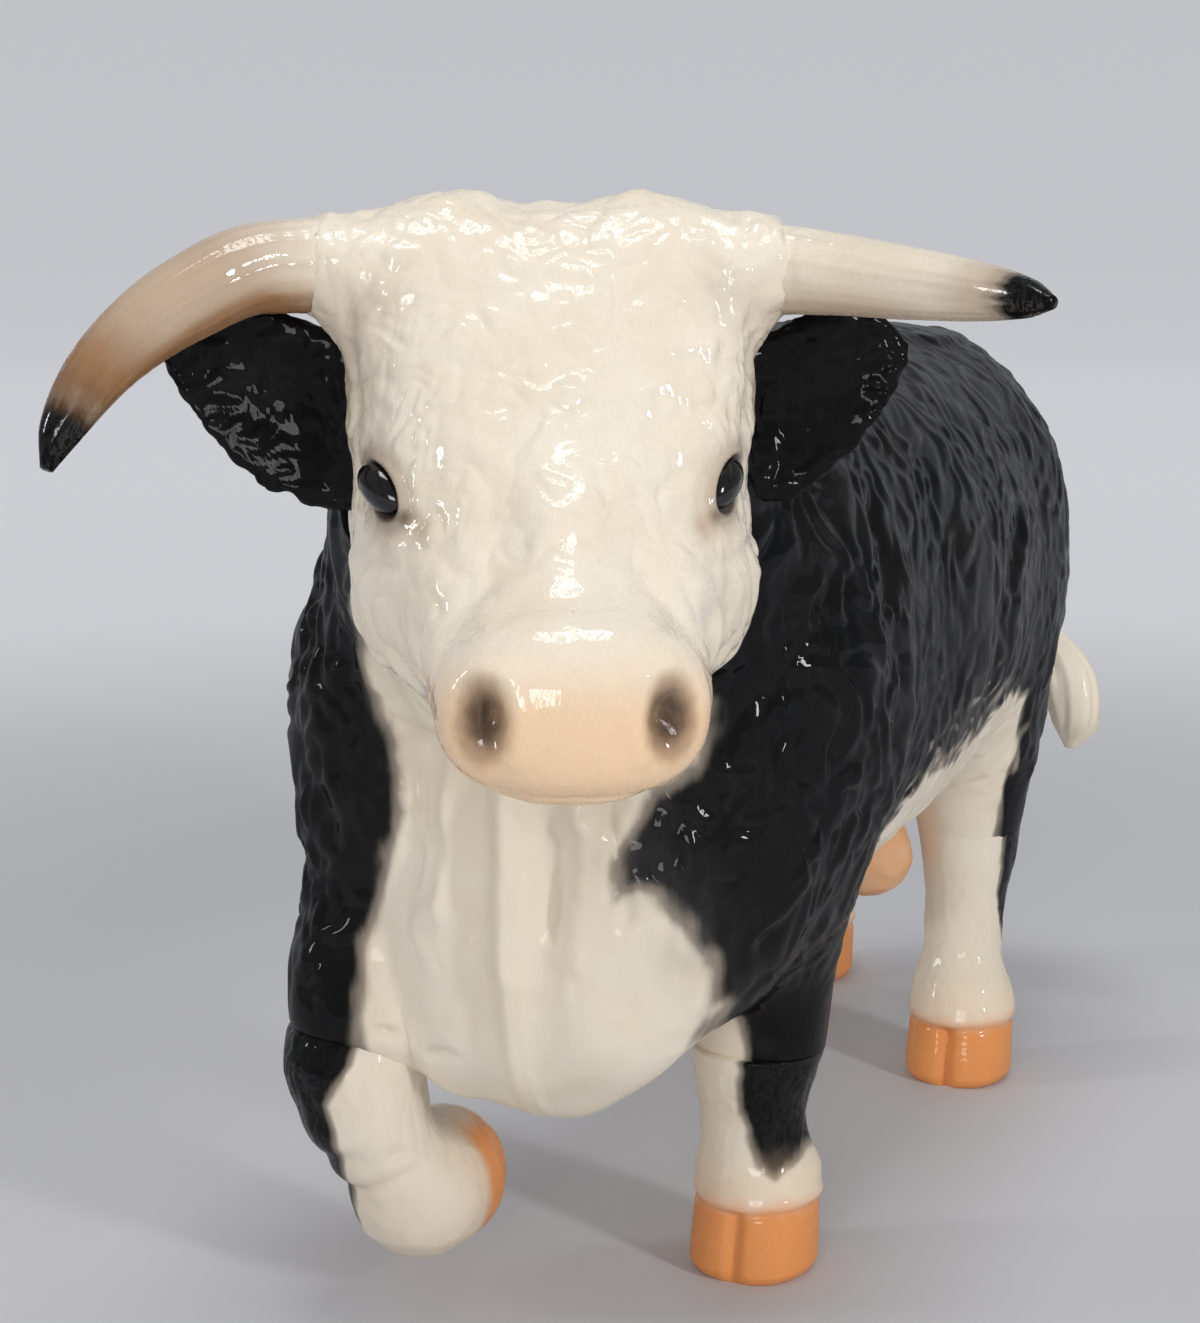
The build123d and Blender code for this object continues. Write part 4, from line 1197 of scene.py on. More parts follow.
def curls(p):
    """Curled hair: the phase, a wandering field whose level lines close into whorls, and the depth."""
    bent = wandering(p, 9.0, 3.0, 61)
    phase = 3.0 * noise(bent / 8.0, 62) + 0.9 * noise(bent / 3.6, 63) + 0.25 * p[:, 2]
    forehead = smooth(p[:, 2], -40, -28) * smooth(p[:, 1], -8, 2)
    patchy = smooth(noise(p / 7.5, 64), -0.35, 0.35)
    return phase, forehead * (0.35 + 0.65 * patchy)


def head_relief(p):
    """Strokes, lumps and sockets, and the hair: the sine of the curls' phase on the forehead, locks on the
    cheeks, and waves and round |noise| tufts elsewhere."""
    relief = sum(lump(p, *row) for row in FACE_SINGLES)
    for side in (1, -1):
        mirrored = p * np.array([side, 1, 1])
        relief += sum(lump(mirrored, *row) for row in FACE_PAIRS)
        relief += sum(stroke(mirrored, *row) for row in FACE_STROKES)
        relief += socket(p, side)
    phase, depth = curls(p)
    nose = smooth(p[:, 1], 44, 48) * smooth(-p[:, 2], 42, 46)
    nearer_eye = np.minimum(eye_reach(p, 1)[0], eye_reach(p, -1)[0])
    clear = 1 - 0.85 * (1 - smooth(nearer_eye, 1.2, 2.2))
    wrinkles = locks(wandering(p, 7.0, 2.6, 71), 3.0, 8.0, 72) - 0.42
    cheeks = smooth(np.abs(p[:, 0]), 12, 22) * (1 - nose)
    waves = 0.14 * noise(wandering(p, 8.0, 2.0, 74) / 3.2, 73) + 0.30 * noise(p / 8.0, 75)
    above = smooth(p[:, 2], -62, -50) * (1 - smooth(p[:, 1], 34, 42))
    round_tufts = np.abs(noise(wandering(p, 6.0, 2.4, 76) / np.array([5.0, 5.0, 6.2]), 77)) - 0.25
    tufts = 0.85 * above * round_tufts
    hair = 0.055 * depth * np.sin(2 * np.pi * phase) + 0.28 * cheeks * wrinkles + (1 - nose) * waves + tufts
    return relief + clear * hair


# Tan on one side of the face: brown at the eye's inner corner, painted shade from under the horn down to the
# ear's root, and tan along the crease beside the muzzle; path, width and strength; the other side's are
# mirrored
TEAR_DARK = ([(21.6, 18.6, -30.2), (20.3, 21.2, -31.0)], 1.3, 0.9)
FACE_TAN_AND_SHADE = [
    ([(21.0, 20, -30.6), (19.0, 24.5, -32.0)], 2.2, 0.5),
    ([(24, 3, -5), (27, 2, -11), (28, 0, -20)], 3.2, 0.55),
    ([(22, 7, -3), (29, 4, -5)], 4.0, 0.30),
    ([(18.6, 30, -52), (17.5, 33, -57)], 0.8, 0.5),
]
NOSTRIL = np.array([11.5, 50.5, -52.2])
NOSTRIL_HALF = np.array([2.7, 6.0, 4.6])


def head_paint(p):
    """Cream with a rosy muzzle, dark nostrils, brown round the eyes, painted shade in tan under the horns and
    at the ears' roots, and black behind the ears.
    """
    wobble = 0.8 * noise(p / 4.0, 81)
    white = smooth(p[:, 1] + 8.5 + wobble + 0.12 * (p[:, 2] + 20), -1.5, 1.5)
    white = np.maximum(white, smooth(p[:, 2], 3, 7))
    rose = smooth(-p[:, 2] + 0.15 * (p[:, 1] - 45), 43.0, 55.0) * smooth(p[:, 1], 24, 36)
    darks, tan_and_shade_layers = [], []
    for side in (1, -1):
        mirrored = p * np.array([side, 1, 1])
        reach = np.linalg.norm((mirrored - NOSTRIL) / NOSTRIL_HALF, axis=1) + 0.10 * noise(mirrored / 1.6, 82)
        darks.append(0.90 * (1 - smooth(reach, 0.35, 1.30)))
        tan_and_shade_layers.append(0.55 * (1 - smooth(reach, 1.0, 1.6)))
        reach, local = eye_reach(p, side)
        near = smooth(local[:, 1], -5, -1.5)
        darks.append(0.95 * near * (1 - smooth(reach, 1.04, 1.32)))
        darks.append(0.30 * near * (1 - smooth(reach, 1.25, 1.75)))
        tan_and_shade_layers.append(0.34 * near * (1 - smooth(reach, 1.2, 2.4)))
        darks.append(stroke(mirrored, *TEAR_DARK))
        # Painted shade in tan under the horn and at the ear's root, with the tan at the eye's corner and
        # beside the muzzle
        tan_and_shade_layers += [stroke(mirrored, *row) for row in FACE_TAN_AND_SHADE]
    dark, tan = np.maximum.reduce(darks), np.maximum.reduce(tan_and_shade_layers)
    return {"white": white, "rose": rose, "dark": dark, "tan": tan}


HEAD_VOXEL = 0.85
# Places as near the seam as this are drawn into it
SEAM_REACH = 0.3


def build_head():
    """The two head shells, whose directions are left-handed, so their faces are turned, and the eyes."""
    forms, joined = head_forms()
    points, quads = skin(forms, joined, HEAD_VOXEL)
    points = lifted(points, quads, head_relief(points))
    near = np.abs(points[:, 0]) < SEAM_REACH
    points[near, 0] *= smooth(np.abs(points[near, 0]), 0.0, SEAM_REACH)
    turned = normals_of(points, quads) @ HEAD_AXES
    paint = paint_of(len(points), **head_paint(points))
    parts = halves(from_head(points), quads[:, ::-1], points[:, 0], turned, paint)
    halved_pieces(parts, ("head_shell_left", "head_shell_right"), FACE)
    build_eye("eye_left", 1)
    build_eye("eye_right", -1)


def build_eye(name, side):
    """A glossy ball: directions times its half sizes, longer along the slit than across it."""
    way = sphere_ways(np.linspace(0.03, np.pi - 0.03, 40), full_turn(64))
    rings = (way * EYE_HALF) @ eye_frame(side) + EYE_CENTRES[side]
    points, faces = closed_grid(from_head(rings))
    faces = inside_out(faces) if side > 0 else faces
    piece(name, points, faces, None, EYE, {})


# Horns and ears, in the head's directions

# Places along each horn, across from the middle, forward and up, and the radius there
HORN_LEFT = [
    (24, 0, -0.4, 5.0),
    (30.4, 0.3, 0.6, 6.2),
    (39, 5.2, 0.1, 5.6),
    (47.8, 13.2, -0.9, 4.85),
    (55, 21.6, -1.7, 3.9),
    (59.8, 29.6, -2.3, 2.6),
    (61.9, 34.2, -2.7, 0.9),
]
HORN_RIGHT = [
    (-24, 0, 0.0, 5.2),
    (-30.4, 0.2, 1.3, 6.5),
    (-39, 3.6, 1.1, 6.15),
    (-49.8, 9.2, -3.3, 5.6),
    (-59, 14, -10.5, 4.55),
    (-65, 18.4, -19.3, 2.9),
    (-66.8, 20.6, -24.3, 0.9),
]


# Paint of each horn along its length, 0 at the head and 1 at the tip: where the black starts and where no
# tan is left, and the strength of the painted shade in tan on the underside and of the tan along it
HORN_PAINT = {
    1: {"black": 0.79, "no_tan": (0.82, 0.885), "shade_below": 0.42, "tan_along": 0.10},
    -1: {"black": 0.74, "no_tan": (0.80, 0.90), "shade_below": 0.75, "tan_along": 0.62},
}
HORN_BLACK_END = 0.90
HORN_GRID = (150, 84)


def path_table(rows, count):
    """Rows spread along the length of the line through them, by smooth tables over that length, a little
    closer together at the ends."""
    rows = np.array(rows, float)
    run = np.concatenate([[0], np.cumsum(np.linalg.norm(np.diff(rows[:, :3], axis=0), axis=1))])
    share = np.linspace(0, 1, count)
    share = share - 0.06 * np.sin(2 * np.pi * share) / 2
    return lookup(run, rows, share * run[-1]), share


def grid_noise(places, seed):
    """Noise at the places of a grid."""
    return noise(places.reshape(-1, 3), seed).reshape(places.shape[:2])


def horn_paint(side, along, angle, grooves, wobble):
    """Cream with painted shade in tan on the underside, most at the head, tan in the grooves, and black from
    start to end at the tip.
    """
    rule = HORN_PAINT[side]
    start = rule["black"]
    # Painted shade: the underside is tan, darker near the head
    below = smooth(-np.sin(angle), 0.1, 0.9)[None] * np.ones_like(along)
    tan = rule["shade_below"] * smooth(1 - along, 0.15, 0.6) * below
    tan += 0.35 * smooth(1 - along, 0.80, 1.0) * below
    tan += rule["tan_along"] * smooth(along, 0.10, 0.42)
    tan += 0.34 * smooth(along + wobble, start - 0.18, start + 0.02)
    tan += 0.22 * np.clip(grooves, 0, 1) * smooth(1 - along, 0.3, 0.9)
    tan = np.clip(tan, 0, 1) * (1 - smooth(along, *rule["no_tan"]))
    white = 1 - smooth(along + wobble, start + 0.03, HORN_BLACK_END)
    dark = smooth(along + wobble, start, HORN_BLACK_END) * white
    layers = {"white": white, "dark": dark, "tan": tan}
    return {key: closed_grid_values(values) for key, values in layers.items()}


def build_horn(name, rows, side):
    """A tapering tube with rounded tip; its skin has long grooves by noise round it, and growth rings."""
    table, share = path_table(rows, HORN_GRID[0])
    rings = swept(table[:, :3], table[:, 3], HORN_GRID[1])
    angle = full_turn(HORN_GRID[1])
    along = np.broadcast_to(share[:, None], HORN_GRID)
    around = np.stack([np.cos(angle) * 3.2 + 0 * along, np.sin(angle) * 3.2 + 0 * along, along * 5.0], -1)
    long_grooves = grid_noise(around * np.array([2.2, 2.2, 0.5]), 91)
    fine_grooves = grid_noise(around * np.array([6, 6, 0.8]), 92)
    growth = grid_noise(np.stack([along * 34, around[..., 0] * 0.4, around[..., 1] * 0.4], -1), 93)
    growth = growth * (1 - smooth(along, 0.1, 0.5))
    relief = (1 - smooth(along, 0.75, 0.95)) * (0.16 * long_grooves + 0.07 * fine_grooves + 0.12 * growth)
    wobble = 0.025 * grid_noise(around * 1.3, 94)
    points, faces = closed_grid(from_head(raised(rings, relief)))
    faces = inside_out(faces) if side < 0 else faces
    paint = paint_of(len(points), **horn_paint(side, along, angle, long_grooves, wobble))
    piece(name.replace("horn", "horn_skin"), points, faces, name, HORN, paint)


# Places along each ear, across, forward and up, and the half height and half thickness there
EAR_LEFT = [
    (23.5, -2.4, -20.8, 11.6, 4.2),
    (28.5, -2.3, -20.6, 12.0, 4.2),
    (34.7, -2.7, -19.0, 12.6, 4.0),
    (41.4, -3.6, -15.9, 10.8, 3.2),
    (47.4, -4.4, -13.0, 7.2, 2.2),
    (51.2, -4.8, -11.6, 1.8, 0.9),
]
EAR_RIGHT = [
    (-23.5, -2.4, -20.8, 11.6, 4.2),
    (-29.1, -2.3, -20.4, 12.4, 4.2),
    (-36.1, -3, -18.4, 13.0, 4),
    (-44.2, -4.1, -14.6, 11.4, 3.3),
    (-50.9, -5, -10.4, 6.8, 2.2),
    (-55.2, -5.5, -7.7, 1.6, 0.9),
]


EAR_GRID = (130, 96)


def build_ear(name, rows, side):
    """A leaf hollowed in front: flat ovals along it, the front of each drawn in at its middle, with edges
    scalloped by noise and wavy |noise| hair."""
    table, share = path_table(rows, EAR_GRID[0])
    angle = full_turn(EAR_GRID[1])
    along = np.broadcast_to(share[:, None], EAR_GRID)
    across, forward, height, tall, thick = table.T[..., None]
    up = np.sin(angle) * tall
    scallop = grid_noise(np.stack([along * 9, np.sign(up), 0 * up], -1), 95 + side)
    scallop *= smooth(along, 0.15, 0.35) * (1 - smooth(along, 0.8, 1.0))
    up = up * (1 + 0.10 * scallop * np.abs(np.sin(angle)) ** 3)
    cup = 1.15 * np.clip(np.cos(angle), 0, 1) ** 0.8 * np.cos(angle) ** 2
    cup = cup * smooth(along, 0.05, 0.35) * (1 - smooth(along, 0.75, 1.0))
    rings = np.stack([across + 0 * up, forward + thick * (np.cos(angle) - cup), height + up], -1)
    bent = wandering(rings.reshape(-1, 3), 5.0, 1.6, 96)
    hair = np.abs(noise(bent / np.array([6.0, 2.0, 2.4]), 97)) ** 0.8 - 0.4
    lines = noise(bent / np.array([3.5, 1.0, 1.1]), 98)
    relief = (0.75 * hair + 0.16 * lines).reshape(EAR_GRID) * smooth(along, 0.02, 0.12)
    points, faces = closed_grid(from_head(raised(rings, relief)))
    faces = inside_out(faces) if side > 0 else faces
    piece(name.replace("ear", "ear_skin"), points, faces, name, EAR, paint_of(len(points)))


# Legs below the seams, as rows of limb from the seam down to the sole

FORE_LEFT_LOW = [
    (19.5, -41, 38.4, 11, 11.4),
    (19, -41, 33.8, 10.2, 10.6),
    (18.5, -40.6, 26.1, 8.9, 8.8),
    (18.9, -40.1, 21.0, 9.4, 9.3),
    (19.2, -39.8, 16.8, 10.6, 10.3),
    (19.3, -40.0, 13.4, 10.5, 10.2),
    (19.3, -40.3, 12.0, 10.15, 10.2),
    (19.25, -41.0, 5.0, 10.3, 10.8),
    (19.25, -41.4, 0.0, 10.4, 11.1),
]
HIND_LEFT_LOW = [
    (22.5, 71, 50, 10.3, 11.4),
    (22.75, 71, 44, 9.5, 11.3),
    (22.75, 69, 35, 8.1, 8.8),
    (23, 67, 26, 7.9, 7.8),
    (23.5, 65.2, 19, 9.8, 9.5),
    (24, 64.4, 14.8, 10.6, 10.4),
    (24, 64.2, 12.2, 10.1, 10.3),
    (24, 63, 5.0, 10.3, 10.7),
    (24, 62.6, 0.0, 10.3, 10.9),
]
HIND_RIGHT_LOW = [
    (-24.5, 94.6, 53, 10.3, 11.4),
    (-25.25, 99, 44.5, 9.5, 11),
    (-26, 105, 33.9, 8.2, 8.7),
    (-26.75, 110.4, 23.9, 8, 7.7),
    (-27.25, 114.4, 17.5, 9.8, 9.4),
    (-27.5, 116, 14.3, 10.4, 10.3),
    (-27.5, 115.9, 12.2, 10.1, 10.2),
    (-27.5, 114.8, 5.0, 10.3, 10.7),
    (-27.5, 114.4, 0.0, 10.3, 10.9),
]


# Heights on a standing leg, in millimetres above the sole, and how far the sole's edge is rounded off
HOOF_EDGE, CORONET, DEWCLAW = 11.6, 13.2, 16.5
SOLE_HEIGHT, SOLE_ROUND = 2.2, 1.3
LEG_COLUMNS = 120


def leg_relief(z, angle, top, cleft):
    """The cleft in front and behind, toes, coronet, dewclaws and tendons, each a bell round the leg times a
    bell or a step of the height. The front is a quarter turn on, the back three quarters."""
    front, back = np.pi / 2, 3 * np.pi / 2
    hoof = 1 - smooth(z, 10.6, 12.4)
    parting = bell(angle, front, 0.13) + 0.25 * bell(angle, front, 0.32)
    toes = 0.45 * bell(np.abs(angle - front), 0.75, 0.35) * (1 - smooth(z, 3, 10))
    relief = -cleft * hoof * parting - 1.4 * hoof * bell(angle, back, 0.16) + toes
    relief += 0.25 * hoof * (1 - np.abs(np.sin(angle)) ** 6)
    relief += 0.45 * bell(z, CORONET, 1.0) - 0.35 * bell(z, HOOF_EDGE, 0.5)
    relief += 1.6 * bell(np.abs(angle - back), 0.42, 0.2) * bell(z, DEWCLAW, 1.9)
    shank = smooth(z, 19, 24) * (1 - smooth(z, top - 8, top))
    return relief - 0.55 * bell(np.abs(angle - back), 1.05, 0.22) * shank


def leg_hair(flat):
    """Locks above the hoof, and level and upright growth lines on it."""
    hair = locks(wandering(flat, 6.0, 1.5, 101), 2.2, 8.0, 102) - 0.42
    level = noise(flat * np.array([0.15, 0.15, 1.3]), 103)
    upright = noise(flat * np.array([1.1, 1.1, 0.12]), 104)
    growth = (0.05 * level + 0.06 * upright) * (flat[:, 2] < 12.2)
    return 0.28 * hair * smooth(flat[:, 2], 14, 20) + growth


def build_leg(name, rows, paint_rule, cleft):
    """Level ovals from the seam to the sole, by smooth tables over the height, with relief square to them."""
    rows = np.array(rows, float)
    top = rows[0, 2]
    levels = np.concatenate([[0.0, 0.25], np.linspace(0.7, top - 0.15, 120), [top]])[::-1]
    angle = full_turn(LEG_COLUMNS)
    x, y, half_x, half_y = lookup(rows[:, 2], rows[:, [0, 1, 3, 4]], levels).T[..., None]
    shrink = (SOLE_ROUND * np.clip(1 - levels / SOLE_HEIGHT, 0, 1) ** 2)[:, None]
    z = np.broadcast_to(levels[:, None], (len(levels), LEG_COLUMNS))
    rings = np.stack([x + (half_x - shrink) * np.cos(angle), y - (half_y - shrink) * np.sin(angle), z], -1)
    relief = leg_relief(z, angle, top, cleft) + leg_hair(rings.reshape(-1, 3)).reshape(z.shape)
    relief *= np.where(levels > top - 0.5, 0.3, 1.0)[:, None] * np.where(levels < 0.1, 0.6, 1.0)[:, None]
    rings[..., :2] = raised(rings, relief)[..., :2]
    points, faces = closed_grid(rings)
    piece(name + "_skin", points, faces, name, LEG, paint_of(len(points), **paint_rule(points)))


def leg_layers(p, black, soft):
    """White where black is below zero, softened over a width; an orange hoof that fades through the coronet,
    and a little rose above it."""
    hoof = 1 - smooth(p[:, 2] + 0.8 * noise(p / 3.0, 111), 10.5, 15.5)
    rose = 0.35 * (1 - smooth(p[:, 2], 14, 24)) * (1 - hoof)
    return {"white": 1 - smooth(black, -soft, soft), "ochre": hoof, "rose": rose}


def ragged_edge(p, size, depth, streak_depth, seed):
    """How far a black edge strays: noise of a size, and upright streaks."""
    streaks = noise(p / np.array([1.2, 1.2, 5.0]), seed + 1)
    return depth * noise(p / size, seed) + streak_depth * streaks


# The black of the left foreleg seen from the front: across and up
FORE_LEFT_BLACK = [
    (20.2, 60),
    (20.2, 30),
    (20.8, 25),
    (22.6, 20.5),
    (25.2, 18.0),
    (27.6, 20.5),
    (29.5, 25),
    (40, 30),
    (40, 60),
]
# Where the black stripes of the hind legs start along Y, by height
HIND_LEFT_EDGE = [14, 21, 25, 34, 50], [72, 67.5, 69.2, 66.0, 65.5]
HIND_RIGHT_EDGE = [14, 24, 34, 45, 53], [115, 109.4, 104, 98, 93.6]


def fore_left_paint(p):
    """Black over the outer front down to a point above the fetlock."""
    black = inside(p[:, [0, 2]], FORE_LEFT_BLACK) + ragged_edge(p, 3.5, 0.6, 0.25, 112)
    black = np.minimum(black, (-33 - p[:, 1]) + 0.5 * (p[:, 2] - 26))
    return leg_layers(p, black, 1.9)


def hind_left_paint(p):
    """White in front with a black stripe down the back of the outer side."""
    black = np.minimum(p[:, 1] - np.interp(p[:, 2], *HIND_LEFT_EDGE), p[:, 2] - 18.5)
    black = np.minimum(black + ragged_edge(p, 3.0, 0.7, 0.6, 114), p[:, 0] - 21.5)
    return leg_layers(p, black, 1.5)


def hind_right_paint(p):
    """As the left one, with the stripe on its own outer side."""
    black = np.minimum(p[:, 1] - np.interp(p[:, 2], *HIND_RIGHT_EDGE), p[:, 2] - 19.0)
    black = np.minimum(black + ragged_edge(p, 3.0, 0.7, 0.6, 116), -p[:, 0] - 25.0)
    return leg_layers(p, black, 1.5)


# The shank of the raised leg, as rows of limb, its folds, and where its black starts across, by height
RAISED = [
    (-33, -80, 48, 11.5, 12.2),
    (-32.8, -83, 40.8, 11.25, 11.6),
    (-31, -83.2, 32.6, 10.25, 10.6),
    (-28.2, -80.8, 25.4, 9.9, 10.4),
    (-25.6, -77.8, 18.6, 9.25, 9.6),
    (-25, -77.2, 14, 8, 8),
]
RAISED_STROKES = [
    ([(-37, -88, 26), (-30, -92, 28.5), (-22, -88, 29)], 1.6, -0.8),
    ([(-36, -80, 22), (-32, -88, 21), (-24, -90, 24), (-17, -86, 27)], 1.4, -0.6),
    ([(-27, -95, 39), (-24, -93, 36)], 3.5, 0.5),
]
RAISED_EDGE = [12, 17.6, 28, 37.5, 44, 48], [-31.5, -31.6, -30.6, -31.6, -28.1, -27.4]
RAISED_VOXEL = 0.95
FOOT_END = -61.2


def build_raised_leg():
    """The folded foreleg: shank, round fetlock and the foot turned to the rear, joined, cut off level behind
    and given folds; black on its outer side and orange at the foot."""
    shank = limb(RAISED, 2.5)
    fetlock = ball((-24.8, -77.2, 18.7), (10.7, 10.7, 10.7))
    foot = tube([(-24.8, -75, 18.6), (-25.2, -70, 18.4), (-25.8, -66.6, 18.8)], [10.0, 10.2, 9.4])

    def joined(p):
        best = soft_min(soft_min(shank[1](p), fetlock[1](p), 3.0), foot[1](p), 2.0)
        return soft_max(best, p[:, 1] - FOOT_END, 2.0)

    points, quads = skin([shank, fetlock, foot], joined, RAISED_VOXEL)
    relief = sum(stroke(points, *row) for row in RAISED_STROKES)
    hair = locks(wandering(points, 6.0, 1.5, 121), 2.4, 8.0, 122) - 0.42
    relief += 0.3 * hair * smooth(points[:, 2], 20, 30) + 0.15 * noise(points / 3.0, 123)
    below_seam = points[:, 2] <= 47.5
    points = lifted(points, quads, relief * below_seam)
    y, z = points[:, 1], points[:, 2]
    wobble = 0.7 * noise(points / 5.0, 124) + 0.2 * noise(points / np.array([1.4, 1.4, 6.0]), 125)
    black = np.minimum(np.interp(z, *RAISED_EDGE) - points[:, 0], z - 15) + wobble
    black -= 12 * smooth(y, -78, -70) * smooth(30 - z, 0, 8)
    ochre = smooth(y + 0.6 * wobble, -75.5, -71.5) * (1 - smooth(z, 26, 30))
    rose = 0.5 * smooth(y, -84, -72) * (1 - smooth(z, 24, 30))
    white = 1 - smooth(black, -2.0, 2.0)
    paint = paint_of(len(points), white=white, ochre=ochre, rose=rose * (1 - ochre), tan=0.08 * white)
    piece("foreleg_right_skin", points, quads, "foreleg_right", LEG, paint)


# Tail and scrotum

# Places along the tail and its radius there
TAIL = [
    (0, 101, 140, 4.6),
    (0, 107, 137.9, 4.6),
    (1.5, 112, 129.6, 3.9),
    (6, 114.4, 112, 3.3),
    (15, 115.6, 94.4, 3.3),
    (25, 116, 81.6, 4.5),
    (31, 116, 72, 6.0),
    (33, 115.4, 64, 5.3),
    (32.5, 114.8, 58.2, 1.4),
]


TAIL_GRID = (160, 72)
# Height below which the tail is cream
WHITE_BELOW = 92


def build_tail():
    """A tube that swells into the switch, with |noise| locks that twist along it, black above and cream
    below."""
    table, share = path_table(TAIL, TAIL_GRID[0])
    rings = swept(table[:, :3], table[:, 3], TAIL_GRID[1], up=(0.0, 1.0, 0.0))
    along = np.broadcast_to(share[:, None], TAIL_GRID)
    turned = full_turn(TAIL_GRID[1]) + along * 3.0
    ropes = np.stack([np.cos(turned) * 2.1, np.sin(turned) * 2.1, along * 5], -1)
    hair = np.abs(grid_noise(ropes, 131)) ** 0.8 - 0.4
    fine = grid_noise(ropes * np.array([2.6, 2.6, 1.2]), 132)
    switch = smooth(along, 0.5, 0.7)
    relief = (0.25 + 1.0 * switch) * hair + (0.08 + 0.2 * switch) * fine
    relief = relief * (1 - smooth(along, 0.94, 1.0))
    points, faces = closed_grid(raised(rings, relief))
    white = smooth(WHITE_BELOW - points[:, 2] + 2.0 * noise(points / 4.0, 133), -3, 3)
    paint = paint_of(len(points), white=white)
    piece("tail_skin", points, faces, "tail", COAT, paint)


# Height and radius of the sac's rings from its root down, and its middle
SAC_RINGS = np.array([(58, 5.95), (55.5, 6.0), (50.6, 8.3), (45, 9.6), (40.1, 7.6), (37.4, 3.4), (37.0, 1.0)])
SAC_MIDDLE = (5, 57)
SAC_GRID = (90, 96)


def build_scrotum():
    """A hanging sac: round rings by height, each drawn in by a bell at a fold in front and behind."""
    top, bottom = SAC_RINGS[0, 0], SAC_RINGS[-1, 0]
    levels = np.linspace(top, bottom, SAC_GRID[0])[:, None]
    angle = full_turn(SAC_GRID[1])
    fold = 1 - 0.10 * bell(np.sin(angle - np.pi / 2), 0, 0.16)
    radius = lookup(SAC_RINGS[:, 0], SAC_RINGS[:, 1], levels[:, 0]) * fold
    x, y = SAC_MIDDLE[0] + radius * np.cos(angle), SAC_MIDDLE[1] + radius * np.sin(angle)
    rings = np.stack([x, y, np.broadcast_to(levels, SAC_GRID)], -1)
    relief = 0.22 * grid_noise(rings / 3.0, 141) + 0.10 * grid_noise(rings / 1.3, 142)
    rings = raised(rings, relief)
    rings[..., 2] = np.clip(rings[..., 2], bottom, top)
    points, faces = closed_grid(rings)
    shade = 0.5 + 0.25 * noise(points / 5.0, 143)
    paint = paint_of(len(points), white=1.0, rose=0.9, ochre=0.95 * shade, tan=0.16 * shade)
    piece("scrotum_skin", points, faces, "scrotum", SAC, paint)


# Stage: floor, light and camera

# The photograph's camera: its place, its azimuth and how far it looks down, and its lens as a number of the
# photograph's rows
CAMERA_PLACE = np.array([158.8, -411.6, 174.8])
CAMERA_YAW, CAMERA_PITCH = math.radians(24.4), math.radians(10.4)
LENS_ROWS, PHOTO_ROWS = 2500.0, 1323.0
SENSOR = 36.0


def floor_paper():
    """Pale paper: near the bull it takes light and shadow, and farther out, by the distance from the middle,
    it fades into an even pale grey."""
    shader = Shader("floor_paper", Roughness=0.6, Specular_IOR_Level=0.3, Emission_Strength=1.0)
    place = shader.value("ShaderNodeTexCoord", {}, {}, "Object")
    radius = shader.value("ShaderNodeVectorMath", {"operation": "LENGTH"}, {0: place}, "Value")
    cloud = shader.speckle(shader.place(), 700.0, 2.0, 0.5)
    far = shader.edge(radius, 0.20, 0.70)
    grey = shader.blend(shader.edge(radius, 1.0, 2.6), PAPER_FAR, PAPER_END)
    near = shader.blend(cloud, PAPER_NEAR, PAPER_CLOUD)
    return shader.feed(
        Base_Color=shader.blend(far, near, NOTHING),
        Emission_Color=shader.blend(far, NOTHING, grey),
    )


def build_floor():
    """A pale sweep square to the camera: level floor, a quarter circle behind, and a wall; a profile carried
    across. Its measures are in metres."""
    bend, radius, depth, height, half_width = 2.2, 1.2, 2.4, 3.4, 4.0
    turn = np.linspace(0, np.pi / 2, 24)
    profile = np.concatenate(
        [
            np.stack([np.linspace(-depth, bend, 30), np.zeros(30)], -1),
            np.stack([bend + radius * np.sin(turn), radius - radius * np.cos(turn)], -1)[1:],
            np.stack([np.full(12, bend + radius), np.linspace(radius, height, 13)[1:]], -1),
        ]
    )
    across = np.linspace(-half_width, half_width, 40)
    side = np.array([math.cos(CAMERA_YAW), math.sin(CAMERA_YAW)])
    back = np.array([-math.sin(CAMERA_YAW), math.cos(CAMERA_YAW)])
    flat = across[None, :, None] * side + profile[:, None, :1] * back
    points = np.concatenate([flat, np.broadcast_to(profile[:, None, 1:], (*flat.shape[:2], 1))], -1)
    mesh = bpy.data.meshes.new("floor_sweep")
    mesh.from_pydata(points.reshape(-1, 3).tolist(), [], grid_quads(*points.shape[:2], closed=False))
    mesh.polygons.foreach_set("use_smooth", np.ones(len(mesh.polygons), bool))
    mesh.materials.append(floor_paper())
    floor = bpy.data.objects.new("floor_sweep", mesh)
    bpy.context.scene.collection.objects.link(floor)


# Lamps: name, place and size in metres, and power in watts; all face a place in the bull's middle
LAMPS = [
    ("lamp_above", (0.02, -0.10, 0.95), (0.40, 0.30), 3.0),
    ("lamp_front", (0.30, -1.15, 0.35), (0.45, 0.30), 3.9),
    ("lamp_left", (-0.95, -0.60, 0.50), (0.12, 0.28), 1.8),
    ("lamp_right", (1.10, -0.45, 0.50), (0.12, 0.28), 5.2),
]
LIT_PLACE = Vector((0.0, 0.0, 0.08))
SKY_COLOUR = (0.9, 0.92, 0.95, 1)
SKY_STRENGTH = 0.26


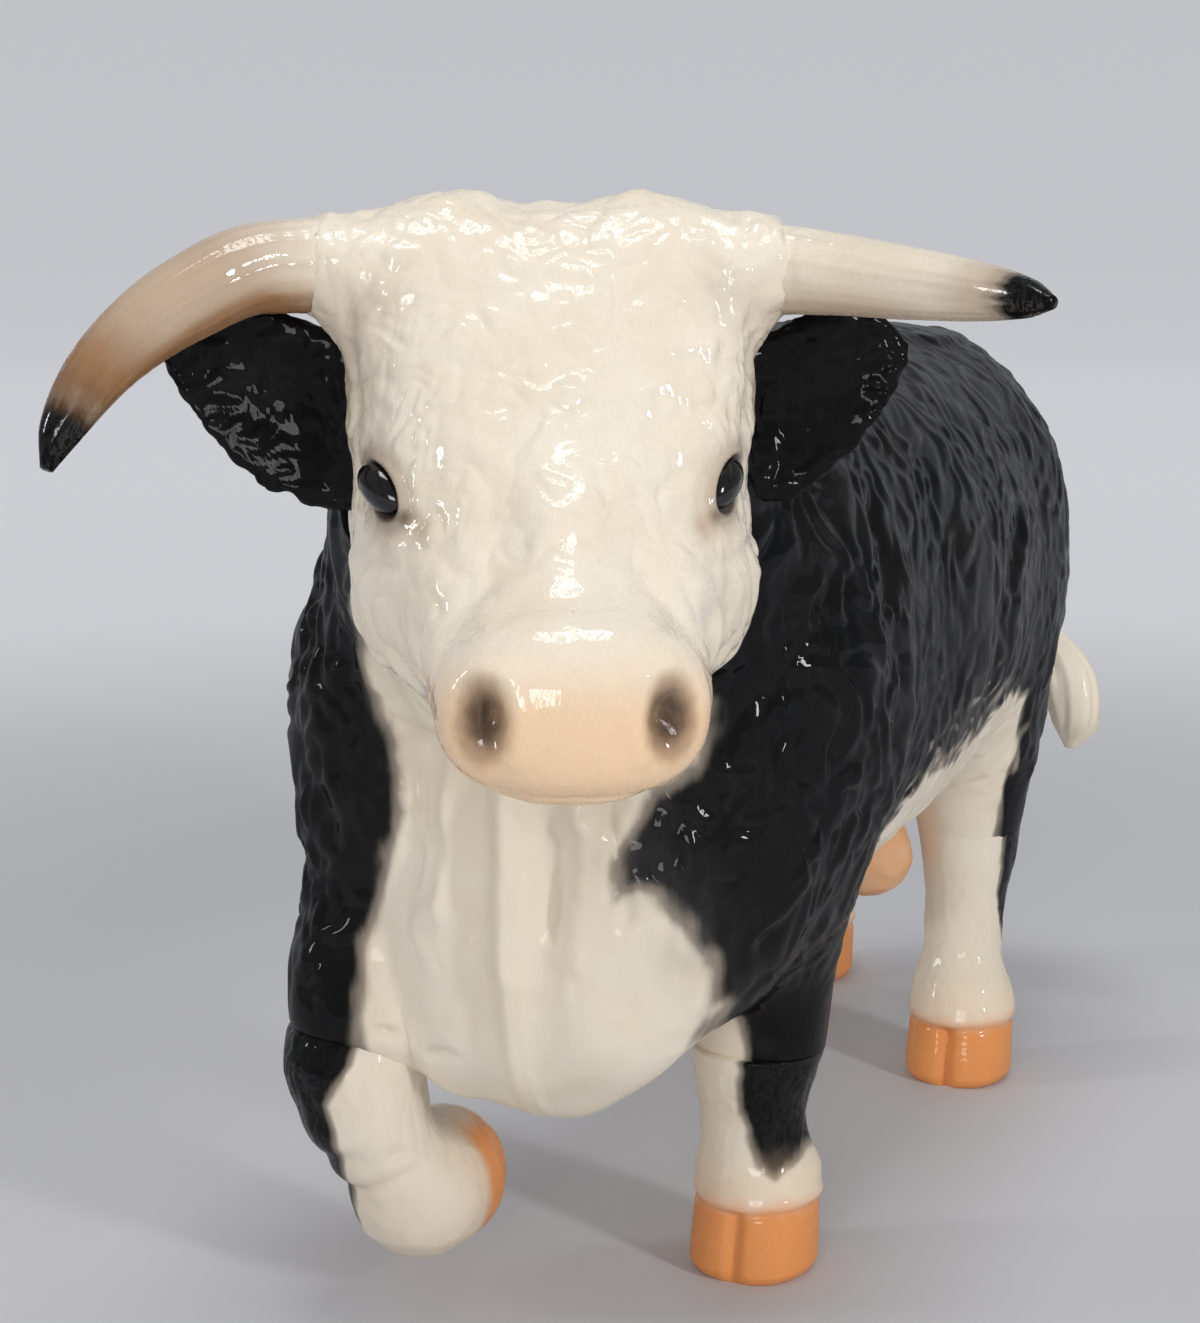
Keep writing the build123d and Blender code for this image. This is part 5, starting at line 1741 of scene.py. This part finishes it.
def lamp(name, place, size, power):
    """A soft rectangular lamp that faces the bull."""
    data = bpy.data.lights.new(name, "AREA")
    data.shape = "RECTANGLE"
    data.size, data.size_y = size
    data.energy = power
    made = bpy.data.objects.new(name, data)
    made.location = place
    made.rotation_mode = "QUATERNION"
    made.rotation_quaternion = (LIT_PLACE - Vector(place)).to_track_quat("-Z", "Y")
    bpy.context.scene.collection.objects.link(made)


def build_light():
    """A broad lamp above, one in front, a narrow one on either side, and a pale sky all round."""
    for row in LAMPS:
        lamp(*row)
    world = bpy.data.worlds.new("studio")
    world.use_nodes = True
    world.node_tree.nodes["Background"].inputs["Color"].default_value = SKY_COLOUR
    world.node_tree.nodes["Background"].inputs["Strength"].default_value = SKY_STRENGTH
    bpy.context.scene.world = world


def build_camera():
    """The photograph's camera: it looks along the azimuth and down by the pitch."""
    level = math.cos(CAMERA_PITCH)
    ahead = Vector((-math.sin(CAMERA_YAW) * level, math.cos(CAMERA_YAW) * level, -math.sin(CAMERA_PITCH)))
    data = bpy.data.cameras.new("camera")
    data.sensor_width = SENSOR
    data.lens = LENS_ROWS / PHOTO_ROWS * SENSOR
    data.clip_start, data.clip_end = 0.01, 20.0
    camera = bpy.data.objects.new("camera", data)
    camera.location = (CAMERA_PLACE + SHIFT) * MM
    camera.rotation_mode = "QUATERNION"
    camera.rotation_quaternion = ahead.to_track_quat("-Z", "Y")
    bpy.context.scene.collection.objects.link(camera)
    bpy.context.scene.camera = camera


build_camera()
build_floor()
build_light()
build_body()
build_head()
build_horn("horn_left", HORN_LEFT, 1)
build_horn("horn_right", HORN_RIGHT, -1)
build_ear("ear_left", EAR_LEFT, 1)
build_ear("ear_right", EAR_RIGHT, -1)
build_leg("foreleg_left", FORE_LEFT_LOW, fore_left_paint, 1.0)
build_leg("hind_leg_left", HIND_LEFT_LOW, hind_left_paint, 1.7)
build_leg("hind_leg_right", HIND_RIGHT_LOW, hind_right_paint, 1.7)
build_raised_leg()
build_tail()
build_scrotum()

bpy.context.scene.view_settings.view_transform = "Standard"
